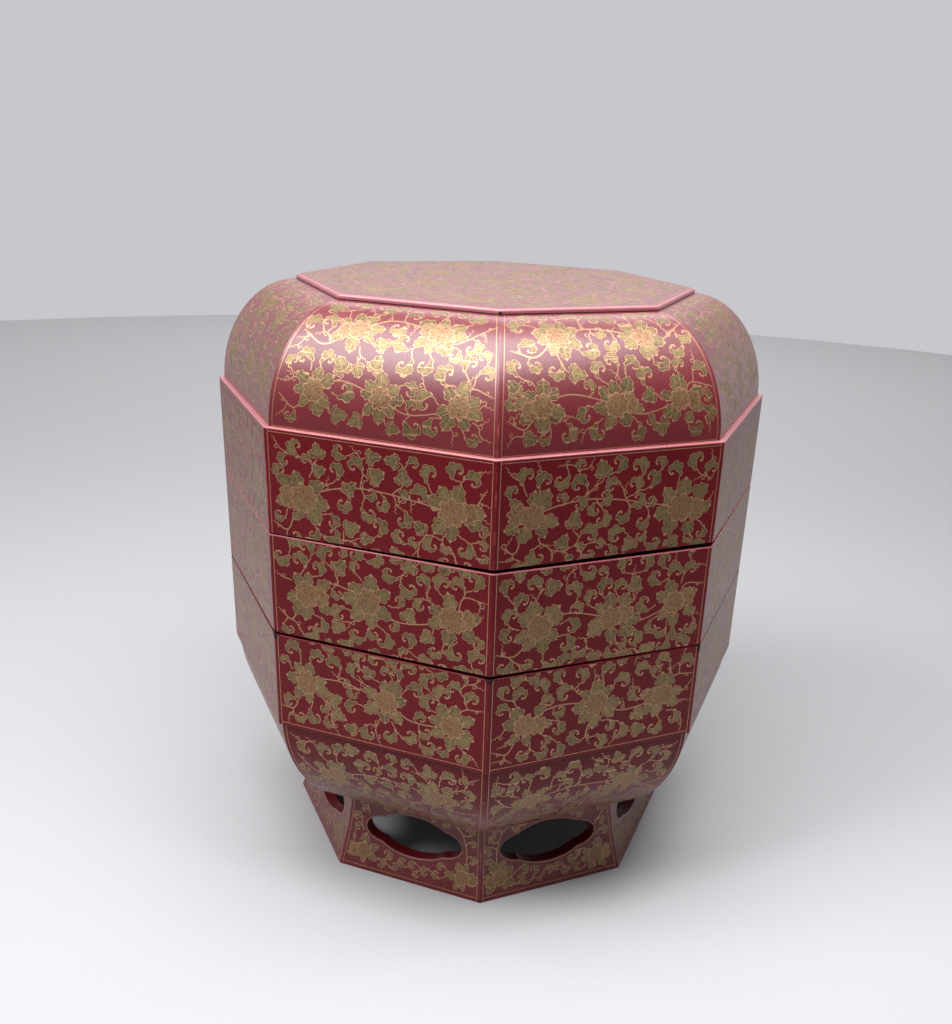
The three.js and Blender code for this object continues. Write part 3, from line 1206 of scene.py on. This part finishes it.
def wall_field(section, run, side, extra=()):
    """The part of a wall's scroll that falls on one upright run of a section, with its side lines."""
    low, high = section.starts[run], section.starts[run + 1]
    foot = section.at(section.strip_at(low + 0.01), low)[1] - BOWL_TOP
    rise = low - foot
    drawn = []
    for one in wall_scrolls[side]:
        heights = [p[1] for p in one.points]
        if max(heights) + rise > low and min(heights) + rise < high:
            drawn.append(one._replace(
                points=[(u, v + rise) for u, v in one.points],
                hearts=[(u, v + rise) for u, v in one.hearts],
                place=(one.place[0], one.place[1] + rise),
            ))
    return Field(low, high, side_lines(section, low, high) + list(extra) + drawn)


# The flower heads on the dome, as (share of the way up, shares of half the width there).
DOME_HEADS = ((0.27, (-0.62, 0.03, 0.64)), (0.7, (-0.4, 0.42)))
CURVED_HEAD_SIZE = 15.5
DOME_SEED = 300
CURVED_TRIES = 3800
CURVED_MARGIN = 1.0


def dome_scroll(section, run, side):
    """The scroll over one flat of the dome: three heads low down and two above."""
    low, high = section.starts[run], section.starts[run + 1]
    edge = FRAME_INSET + FRAME_LINE + CURVED_MARGIN

    def room(u, v):
        return min(section.half_width(v) - edge - abs(u), v - low - 4.5, high - 2.5 - v)

    scroll = Scroll(DOME_SEED + side, room)
    rnd = scroll.random
    for share_up, places in DOME_HEADS:
        v = low + (high - low) * share_up
        half = section.half_width(v)
        heads = []
        for p in places:
            heads.append((p * half + rnd.uniform(-3, 3), v + rnd.uniform(-3, 3), CURVED_HEAD_SIZE))
        ends = ((-half + 9, v - 8), (half - 9, v + 9))
        scroll.vine(wandering(heads, *ends, rnd.uniform(6, 9)))
        for head in heads:
            scroll.head(*head)
    half = section.half_width(low)
    corners = [(a * (half - edge - 5), low + 10.0) for a in (-1, 1)]
    scroll.clothe((-half, low, half, high), LEAF_SIZES, corners, CURVED_TRIES)
    lines = side_lines(section, low, high) + [cross_line(section, low + 0.5)]
    return Field(low, high, lines + scroll.motifs())


# The rings of flower heads on the plate, as (how many, distance from the middle, bearing of the first).
PLATE_RINGS = ((5, 57.0, 0.3), (9, 107.0, 0.1))
PLATE_LEAF_SIZES = (4.6, 6.8)
PLATE_MARGIN = 4.0
PLATE_SEED = 500
PLATE_TRIES = 9000


def plate_scroll():
    """The scroll over the plate: a head in the middle and two rings of them about it."""
    limit = PLATE_FLAT - PLATE_EASE - PLATE_MARGIN

    def room(x, y):
        flats = (FIRST_FLAT + k * 2 * HALF_TURN for k in range(SIDES))
        return limit - max(x * math.cos(a) + y * math.sin(a) for a in flats)

    scroll = Scroll(PLATE_SEED, room)
    rnd = scroll.random
    heads = [(rnd.uniform(-3, 3), rnd.uniform(-3, 3), HEAD_SIZE)]
    for count, radius, start in PLATE_RINGS:
        for i in range(count):
            a = start + i * 2 * math.pi / count
            r = radius + rnd.uniform(-3, 3)
            heads.append((r * math.cos(a), r * math.sin(a), 17.0))
    split = 1 + PLATE_RINGS[0][0]
    ring, outer = heads[1:split], heads[split:]
    scroll.vine([heads[0][:2], (24, 30), ring[0][:2]])
    for circle in (ring, outer):
        points = []
        for i, (x, y, size) in enumerate(circle):
            x1, y1, size = circle[(i + 1) % len(circle)]
            swell = 1.06 if i % 2 else 0.86
            points += [(x, y), ((x + x1) / 2 * swell, (y + y1) / 2 * swell)]
        scroll.vine(points)
    for head in heads:
        scroll.head(*head)
    reach = PLATE_FLAT / math.cos(HALF_TURN)
    scroll.clothe((-reach, -reach, reach, reach), PLATE_LEAF_SIZES, (), PLATE_TRIES)
    return scroll.motifs()


def resting_rim(seam):
    """The runs of a lower rim: down inside the wall, out across the seam, and round to the face."""
    return [
        ("inside", straight((INNER_FLAT, seam + GAP_FADE), (INNER_FLAT, seam))),
        ("inside", straight((INNER_FLAT, seam), (BODY_FLAT - EDGE_EASE, seam))),
        ("lacquer", eased(BODY_FLAT - EDGE_EASE, seam + EDGE_EASE, EDGE_EASE, -90, 0)),
    ]


def lid_section():
    ease = EDGE_EASE
    dome_foot = BODY_FLAT - LEDGE_WIDTH
    return Section([
        *resting_rim(UPPER_SEAM),
        ("lacquer", straight((BODY_FLAT, UPPER_SEAM + ease), (BODY_FLAT, LEDGE - ease))),
        # The ledge and the plate's edge are laid in the paler pink lacquer: painted highlight, with wear.
        ("wear_and_highlight", eased(BODY_FLAT - ease, LEDGE - ease, ease, 0, 90)),
        ("wear_and_highlight", straight((BODY_FLAT - ease, LEDGE), (dome_foot, LEDGE))),
        ("lacquer", shoulder(dome_foot, LEDGE, PLATE_FLAT, PLATE_FOOT, DOME_FULLNESS, DOME_STEPS)),
        # A thin black strip at the plate's foot: painted shadow under its edge.
        ("inside", straight((PLATE_FLAT, PLATE_FOOT), (PLATE_FLAT, PLATE_FOOT + PLATE_SHADOW_LINE))),
        ("wear_and_highlight", straight((PLATE_FLAT, PLATE_FOOT + PLATE_SHADOW_LINE), (PLATE_FLAT, LID_TOP - PLATE_EASE))),
        ("wear_and_highlight", eased(PLATE_FLAT - PLATE_EASE, LID_TOP - PLATE_EASE, PLATE_EASE, 0, 90)),
    ], CORNER_ROUNDING, rounded_end=True)


LID_WALL_RUN = 3
DOME_RUN = 6


def lay_plate(shell, section):
    """The flat top of the plate, inside the rounded edge that ends the section."""
    flat, z = section.rows[-1]
    r = section.rounding[-1]
    border = []
    for corner in range(SIDES):
        middle = FIRST_FLAT + (2 * corner + 1) * HALF_TURN
        out = (flat - r) / math.cos(HALF_TURN)
        for j in range(CORNER_STEPS + 1):
            a = middle + HALF_TURN * (2 * j / CORNER_STEPS - 1)
            x, y = out * math.cos(middle) + r * math.cos(a), out * math.sin(middle) + r * math.sin(a)
            border.append((x, y))
    lines = []
    for k in range(SIDES):
        a, b = FIRST_FLAT + (2 * k - 1) * HALF_TURN, FIRST_FLAT + (2 * k + 1) * HALF_TURN
        inner = (flat - PLATE_LINE_INSET) / math.cos(HALF_TURN)
        outer = (flat - PLATE_LINE_INSET + FRAME_LINE) / math.cos(HALF_TURN)
        ends = ((inner, a), (inner, b), (outer, b), (outer, a))
        quad = [(r * math.cos(t), r * math.sin(t)) for r, t in ends]
        lines.append(motif("line", quad))
    drawn = lines + plate_scroll()
    for trio, top in divided(border, [], [(one, one.points) for one in drawn]):
        points = [(x * MM, y * MM, z * MM) for x, y in trio]
        upright = [(0.0, 0.0, 1.0)] * 3
        if top is None:
            shell.face(points, upright, "lacquer")
        else:
            shell.face(points, upright, top.kind, top.tone, [in_motif(top, p) for p in trio])


def dress_lid():
    section = lid_section()
    lift = rim_lift(UPPER_SEAM, UPPER_GAPS)
    rail = cross_line(section, section.starts[LID_WALL_RUN + 1] - 1.8)
    shell = Shell()
    for side in range(SIDES):
        fields = [wall_field(section, LID_WALL_RUN, side, [rail]), dome_scroll(section, DOME_RUN, side)]
        clad(shell, section, side, fields, lift)
        round_corner(shell, section, side, lift)
    lay_plate(shell, section)
    ceiling = LID_TOP - DOME_WALL
    inner = shoulder(INNER_FLAT, LEDGE, PLATE_FLAT, ceiling, DOME_FULLNESS, DOME_STEPS)
    runs = [(0, ceiling)] + [p[:2] for p in reversed(inner)] + [(INNER_FLAT, UPPER_SEAM + GAP_FADE)]
    shell.take(eight_flats(flat_strip(runs), FINISHES["inside"]), "inside")
    return shell.piece("gilded_lid", FINISHES)


lid = dress_lid()
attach(lid, "root")
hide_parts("lid")


# The middle tier
# A plain eight-sided ring of lacquered wood with a thin floor let into it. A lip inside its upper rim
# locates the lid, and its own lower rim drops over the lip of the bottom tier.
LOWER_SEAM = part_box("middle_tier")[0].z / MM
LIP_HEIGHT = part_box("middle_tier")[1].z / MM - UPPER_SEAM
LIP_THICKNESS = 3.5
LIP_ROOT = 14.0
LIP_PLAY = 0.7
LIP_OUTER = INNER_FLAT - LIP_PLAY
LIP_INNER = LIP_OUTER - LIP_THICKNESS
FLOOR_CLEARANCE = 2.0
FLOOR_THICKNESS = 5.0


def upper_rim(seam, edge):
    """The runs of an upper rim: round from the face, in to the lip, and over it."""
    ease = EDGE_EASE
    top = seam + LIP_HEIGHT
    return [
        (edge, eased(BODY_FLAT - ease, seam - ease, ease, 0, 90)),
        ("lacquer", straight((BODY_FLAT - ease, seam), (LIP_OUTER, seam))),
        ("inside", straight((LIP_OUTER, seam), (LIP_OUTER, top - ease))),
        ("inside", eased(LIP_OUTER - ease, top - ease, ease, 0, 90)),
        ("inside", straight((LIP_OUTER - ease, top), (LIP_INNER, top))),
    ]


def middle_section():
    wall = ("lacquer", straight((BODY_FLAT, LOWER_SEAM + EDGE_EASE), (BODY_FLAT, UPPER_SEAM - EDGE_EASE)))
    # The upper rim's eased edge is in the paler pink lacquer: a painted highlight along the seam, with wear.
    return Section([*resting_rim(LOWER_SEAM), wall, *upper_rim(UPPER_SEAM, "wear_and_highlight")], CORNER_ROUNDING)


MIDDLE_WALL_RUN = 3


def dress_middle_tier():
    section = middle_section()
    lift = rim_lift(LOWER_SEAM, LOWER_GAPS)
    shell = Shell()
    for side in range(SIDES):
        clad(shell, section, side, [wall_field(section, MIDDLE_WALL_RUN, side)], lift)
        round_corner(shell, section, side, lift)
    underside = LOWER_SEAM + LIP_HEIGHT + FLOOR_CLEARANCE
    below = [(0, underside), (INNER_FLAT, underside), (INNER_FLAT, LOWER_SEAM + GAP_FADE)]
    shell.take(eight_flats(flat_strip(below), FINISHES["inside"]), "inside")
    floor_top = underside + FLOOR_THICKNESS
    above = [(LIP_INNER, UPPER_SEAM + LIP_HEIGHT), (LIP_INNER, UPPER_SEAM - LIP_ROOT)]
    above += [(INNER_FLAT, UPPER_SEAM - LIP_ROOT - LIP_THICKNESS), (INNER_FLAT, floor_top), (0, floor_top)]
    shell.take(eight_flats(flat_strip(above), FINISHES["inside"]), "inside")
    return shell.piece("gilded_middle_tier", FINISHES)


middle_tier = dress_middle_tier()
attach(middle_tier, "root")
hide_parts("middle_tier")


# The bottom tier
# The deepest tier: an upright wall that narrows, from a small step, in a full bowl down to the foot. It is
# lacquered wood like the rest, hollow down to the floor over the foot.
FOOT_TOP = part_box("foot")[1].z / MM
BOWL_STEP = 2.8
BOWL_FULLNESS = 1.82
BOWL_STEPS = 16
BOWL_WALL = 8.0
BOWL_FOOT_FLAT = 134.0


def bottom_section():
    ease = EDGE_EASE
    bowl = shoulder(BODY_FLAT - BOWL_STEP, BOWL_TOP, BOWL_FOOT_FLAT, FOOT_TOP, BOWL_FULLNESS, BOWL_STEPS)
    return Section([
        ("lacquer", bowl[::-1]),
        ("lacquer", straight((BODY_FLAT - BOWL_STEP, BOWL_TOP), (BODY_FLAT - ease, BOWL_TOP))),
        ("lacquer", eased(BODY_FLAT - ease, BOWL_TOP + ease, ease, -90, 0)),
        ("lacquer", straight((BODY_FLAT, BOWL_TOP + ease), (BODY_FLAT, LOWER_SEAM - ease))),
        *upper_rim(LOWER_SEAM, "lacquer"),
    ], CORNER_ROUNDING)


BOWL_RUN = 0
BOTTOM_WALL_RUN = 3
# The flower heads on the bowl, as those on the dome.
BOWL_HEADS = ((0.66, (-0.5, 0.5)), (0.3, (-0.06,)))
BOWL_SEED = 700
BOWL_LINE_START = 0.8


def bowl_scroll(section, side):
    """The scroll over one flat of the bowl: two heads high up and one low down."""
    low, high = section.starts[BOWL_RUN], section.starts[BOWL_RUN + 1]
    edge = FRAME_INSET + FRAME_LINE + CURVED_MARGIN

    def room(u, v):
        return min(section.half_width(v) - edge - abs(u), v - low - 1.5, high - 4.0 - v)

    scroll = Scroll(BOWL_SEED + side, room)
    rnd = scroll.random
    hand = -1 if side % 2 else 1
    for share_up, places in BOWL_HEADS:
        v = low + (high - low) * share_up
        half = section.half_width(v)
        heads = []
        for p in places:
            heads.append((hand * p * half + rnd.uniform(-4, 4), v + rnd.uniform(-3, 3), CURVED_HEAD_SIZE))
        heads.sort()
        scroll.vine(wandering(heads, (-half + 9, v + 8), (half - 9, v - 8), rnd.uniform(6, 9)))
        for head in heads:
            scroll.head(*head)
    half = section.half_width(high)
    corners = [(a * (half - edge - 5), high - 9.5) for a in (-1, 1)]
    scroll.clothe((-half, low, half, high), LEAF_SIZES, corners, CURVED_TRIES)
    start = low + BOWL_LINE_START
    return Field(start, high, side_lines(section, start, high) + scroll.motifs())


def dress_bottom_tier():
    section = bottom_section()
    rail = cross_line(section, section.starts[BOTTOM_WALL_RUN] + FRAME_INSET - FRAME_LINE)
    shell = Shell()
    for side in range(SIDES):
        fields = [bowl_scroll(section, side), wall_field(section, BOTTOM_WALL_RUN, side, [rail])]
        clad(shell, section, side, fields)
        round_corner(shell, section, side)
    below = [(0, FOOT_TOP), (BOWL_FOOT_FLAT, FOOT_TOP)]
    shell.take(eight_flats(flat_strip(below), FINISHES["inside"]), "inside")
    floor_top = FOOT_TOP + BOWL_WALL
    inner = shoulder(INNER_FLAT, BOWL_TOP, BOWL_FOOT_FLAT, floor_top, BOWL_FULLNESS, BOWL_STEPS)
    above = [(LIP_INNER, LOWER_SEAM + LIP_HEIGHT), (LIP_INNER, LOWER_SEAM - LIP_ROOT)]
    above.append((INNER_FLAT, LOWER_SEAM - LIP_ROOT - LIP_THICKNESS))
    above += [p[:2] for p in inner] + [(0, floor_top)]
    shell.take(eight_flats(flat_strip(above), FINISHES["inside"]), "inside")
    return shell.piece("gilded_bottom_tier", FINISHES)


bottom_tier = dress_bottom_tier()
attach(bottom_tier, "root")
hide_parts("bottom_tier")


# The foot
# An open ring of lacquered wood that flares out to the ground, with a long four-lobed window sawn
# through each face. The bottom tier is fixed on it.
FOOT_TOP_FLAT = 133.0
FOOT_BOTTOM_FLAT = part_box("foot")[1].x / MM
FOOT_FLARE = 1.5
FOOT_WALL = 9.0
FLARE_STEPS = 9
WINDOW_LENGTH = 81.0
WINDOW_HEIGHT = 32.0
WINDOW_CENTRE = 36.5
WINDOW_END_REACH = 8.5
WINDOW_END_LENGTH = 36.0
WINDOW_END_HEIGHT = 20.0
WINDOW_EASE = 1.1
WINDOW_EASE_STEPS = 3
FLARE_RUN = 2
FOOT_HEADS = ((-0.72, 16.0, 13.5), (0.72, 15.0, 13.5))
# The height of the black strip at the top of the foot: painted shadow along the joint, and its dark crack.
FOOT_JOINT_SHADOW = 0.7
FOOT_LEAF_SIZES = (3.0, 5.0)
FOOT_MARGIN = 0.8
FOOT_SEED = 900
FOOT_TRIES = 2600


def flare(height, inward=0.0):
    """A point of the flared face at a height, with the lean of its normal."""
    share = max(0.0, (FOOT_TOP - height) / FOOT_TOP)
    spread = FOOT_BOTTOM_FLAT - FOOT_TOP_FLAT
    slope = FOOT_FLARE * spread * share ** (FOOT_FLARE - 1) / FOOT_TOP
    return (FOOT_TOP_FLAT + spread * share**FOOT_FLARE - inward, height, math.atan(slope))


def foot_levels():
    low, high = EDGE_EASE, FOOT_TOP - FOOT_JOINT_SHADOW
    return [low + (high - low) * i / FLARE_STEPS for i in range(FLARE_STEPS + 1)] + [FOOT_TOP]


FACE_LEVELS = foot_levels()


def foot_section():
    ease = EDGE_EASE
    face = [flare(z) for z in FACE_LEVELS]
    toe, z, lean = face[0]
    return Section([
        ("lacquer", straight((FOOT_BOTTOM_FLAT - FOOT_WALL, 0.0), (toe - ease, 0.0))),
        ("lacquer", eased(toe - ease, ease, ease, -90, 0)),
        ("lacquer", face[:-1]),
        # The top strip of the face, under the bowl, is black: painted shadow along the joint, and its dark
        # crack.
        ("inside", face[-2:]),
        ("lacquer", straight((FOOT_TOP_FLAT, FOOT_TOP), (FOOT_TOP_FLAT - FOOT_WALL, FOOT_TOP))),
    ], CORNER_ROUNDING)


def foot_inner_section():
    """The inner face, from its top down to the ground."""
    face = [flare(z, FOOT_WALL)[:2] for z in [0.0] + FACE_LEVELS]
    face.reverse()
    points = []
    for (flat0, z0), (flat1, z1) in zip(face, face[1:]):
        points.append(("inside", straight((flat0, z0), (flat1, z1))))
    return Section(points)


def window_outline(grown):
    """The window as points about its centre, made larger all round. Two ovals meet in four cusps."""
    oval = (WINDOW_LENGTH / 2 - WINDOW_END_REACH + grown, WINDOW_HEIGHT / 2 + grown)
    end = (WINDOW_END_LENGTH / 2 + grown, WINDOW_END_HEIGHT / 2 + grown)
    centre = WINDOW_LENGTH / 2 - WINDOW_END_LENGTH / 2
    square = (end[1] / end[0]) ** 2 - (oval[1] / oval[0]) ** 2
    linear = -2 * centre * (end[1] / end[0]) ** 2
    constant = oval[1] ** 2 - end[1] ** 2 + (centre * end[1] / end[0]) ** 2
    cusp = (-linear - math.sqrt(linear**2 - 4 * square * constant)) / (2 * square)
    high = oval[1] * math.sqrt(1 - (cusp / oval[0]) ** 2)
    side = math.atan2(high / oval[1], cusp / oval[0])
    tip = math.atan2(high / end[1], (cusp - centre) / end[0])
    arcs = ((0, oval, side, math.pi - side, 12), (-centre, end, math.pi - tip, math.pi + tip, 10),
            (0, oval, math.pi + side, 2 * math.pi - side, 12), (centre, end, -tip, tip, 10))
    points = []
    for middle, (a, b), start, stop, steps in arcs:
        for i in range(steps):
            t = start + (stop - start) * i / steps
            points.append((middle + a * math.cos(t), b * math.sin(t)))
    return points


# Of two notches nearer than this share of an outline's stretch, one is left out.
NOTCH_APART = 0.012


def notched(outlines, levels):
    """The outlines again, all with a point wherever any of them crosses one of the levels."""
    count = len(outlines[0])
    made = [[] for outline in outlines]
    for i in range(count):
        shares = {0.0}
        for outline in outlines:
            z0, z1 = outline[i][1], outline[(i + 1) % count][1]
            for level in levels:
                if min(z0, z1) + 1e-6 < level < max(z0, z1) - 1e-6:
                    shares.add((level - z0) / (z1 - z0))
        kept = []
        for share in sorted(shares):
            if not kept or (share - kept[-1] > NOTCH_APART and share < 1 - NOTCH_APART):
                kept.append(share)
        for outline, points in zip(outlines, made):
            (x0, z0), (x1, z1) = outline[i], outline[(i + 1) % count]
            points += [(x0 + (x1 - x0) * t, z0 + (z1 - z0) * t) for t in kept]
    for points in made:
        for i, (x, z) in enumerate(points):
            level = min(levels, key=lambda height: abs(height - z))
            if abs(level - z) < 3 * SNAP:
                points[i] = (x, level)
    return made


def foot_scroll(section, side, opening):
    """The scroll over one face of the foot, round its window."""
    low, high = section.starts[FLARE_RUN], section.starts[FLARE_RUN + 1]
    edge = FRAME_INSET + FRAME_LINE + FOOT_MARGIN

    def room_by(u, v):
        """How far a place is from the window, and less than nothing inside it."""
        return -depth_in(opening, u, v) if holds(opening, u, v) else depth_in(opening, u, v)

    def room(u, v):
        return min(section.half_width(v) - edge - abs(u), v - low - 4.2, high - 1.2 - v, room_by(u, v) - 1.5)

    scroll = Scroll(FOOT_SEED + side, room)
    rnd = scroll.random
    for share, height, size in FOOT_HEADS:
        half = section.half_width(low + height)
        u, v = share * half + rnd.uniform(-1.5, 1.5), low + height + rnd.uniform(-1, 1)
        scroll.head(u, v, size)
        scroll.vine([(u, v), (u * 1.04, v + 16), (u * 0.93, v + 34), (u * 0.7, high - 5)], 0.8)
    half = section.half_width(low)
    scroll.clothe((-half, low, half, high), FOOT_LEAF_SIZES, (), FOOT_TRIES)
    lines = side_lines(section, low, high - 0.8) + [cross_line(section, low + 2.4)]
    clear = [one for one in scroll.motifs() if all(room_by(*point) > 0.6 for point in one.points)]
    return Field(low, high, lines + clear + [motif("opening", opening)])


def line_window(shell, side, rings):
    """The window's rounded edge and its reveal, through the wall."""
    angle = FIRST_FLAT + side * 2 * HALF_TURN
    count = len(rings[0][1])
    for step, ((in0, ring0, roll0), (in1, ring1, roll1)) in enumerate(zip(rings, rings[1:])):
        for i in range(count):
            quad, normals = [], []
            for inward, ring, roll, k in ((in0, ring0, roll0, i), (in0, ring0, roll0, (i + 1) % count),
                                          (in1, ring1, roll1, (i + 1) % count), (in1, ring1, roll1, i)):
                u, z = ring[k]
                flat = foot_flat_at(z) - inward
                quad.append(spot_on(side, flat, u, z))
                (ua, za), (ub, zb) = ring[i], ring[(i + 1) % count]
                run = math.hypot(ub - ua, zb - za)
                across, up = -(zb - za) / run * math.sin(roll), (ub - ua) / run * math.sin(roll)
                out = math.cos(roll)
                normals.append((
                    out * math.cos(angle) - across * math.sin(angle),
                    out * math.sin(angle) + across * math.cos(angle),
                    up,
                ))
            # The first ring of the rounded edge takes the gilded line's finish: a paler band, a painted
            # highlight round the window.
            shell.face(quad, normals, "line" if step == 0 else "lacquer")


def foot_flat_at(height):
    """The distance of the faceted face from the axis at a height."""
    i = min(max(bisect_right(FACE_LEVELS, height) - 1, 0), len(FACE_LEVELS) - 2)
    share = (height - FACE_LEVELS[i]) / (FACE_LEVELS[i + 1] - FACE_LEVELS[i])
    return flare(FACE_LEVELS[i])[0] * (1 - share) + flare(FACE_LEVELS[i + 1])[0] * share


def dress_foot():
    section = foot_section()
    steps = WINDOW_EASE_STEPS
    grown = [WINDOW_EASE * (1 - math.sin(i / steps * math.pi / 2)) for i in range(steps + 1)]
    outlines = [[(x, z + WINDOW_CENTRE) for x, z in window_outline(g)] for g in grown]
    levels = FACE_LEVELS
    outlines = notched(outlines, levels)
    rings = []
    for i, outline in enumerate(outlines):
        roll = i / steps * math.pi / 2
        rings.append((WINDOW_EASE * (1 - math.cos(roll)), outline, roll))
    rings.append((FOOT_WALL, outlines[-1], math.pi / 2))
    start = section.starts[FLARE_RUN]

    def reach_at(z):
        strip = min(max(bisect_right(levels, z) - 1, 0), len(levels) - 2)
        first = section.reach.index(start) + strip
        share = (z - levels[strip]) / (levels[strip + 1] - levels[strip])
        return section.reach[first] * (1 - share) + section.reach[first + 1] * share

    opening = [(u, reach_at(z)) for u, z in outlines[0]]
    shell = Shell()
    for side in range(SIDES):
        clad(shell, section, side, [foot_scroll(section, side, opening)])
        round_corner(shell, section, side)
        line_window(shell, side, rings)
    inner = foot_inner_section()
    top_down = levels[::-1]

    def inner_reach_at(z):
        strip = 0
        while strip < len(top_down) - 2 and z < top_down[strip + 1]:
            strip += 1
        share = (top_down[strip] - z) / (top_down[strip] - top_down[strip + 1])
        return inner.reach[strip] * (1 - share) + inner.reach[strip + 1] * share

    hole = [(u, inner_reach_at(z)) for u, z in outlines[-1]]
    one = Shell()
    clad(one, inner, 0, [Field(0.0, inner.reach[-1], [motif("opening", hole)])])
    flat = bpy.data.meshes.new("one inner flat")
    flat.from_pydata(one.points, [], one.faces)
    shell.take(eight_flats(flat, FINISHES["inside"]), "inside")
    return shell.piece("gilded_foot", FINISHES)


foot = dress_foot()
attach(foot, "root")
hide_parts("foot")
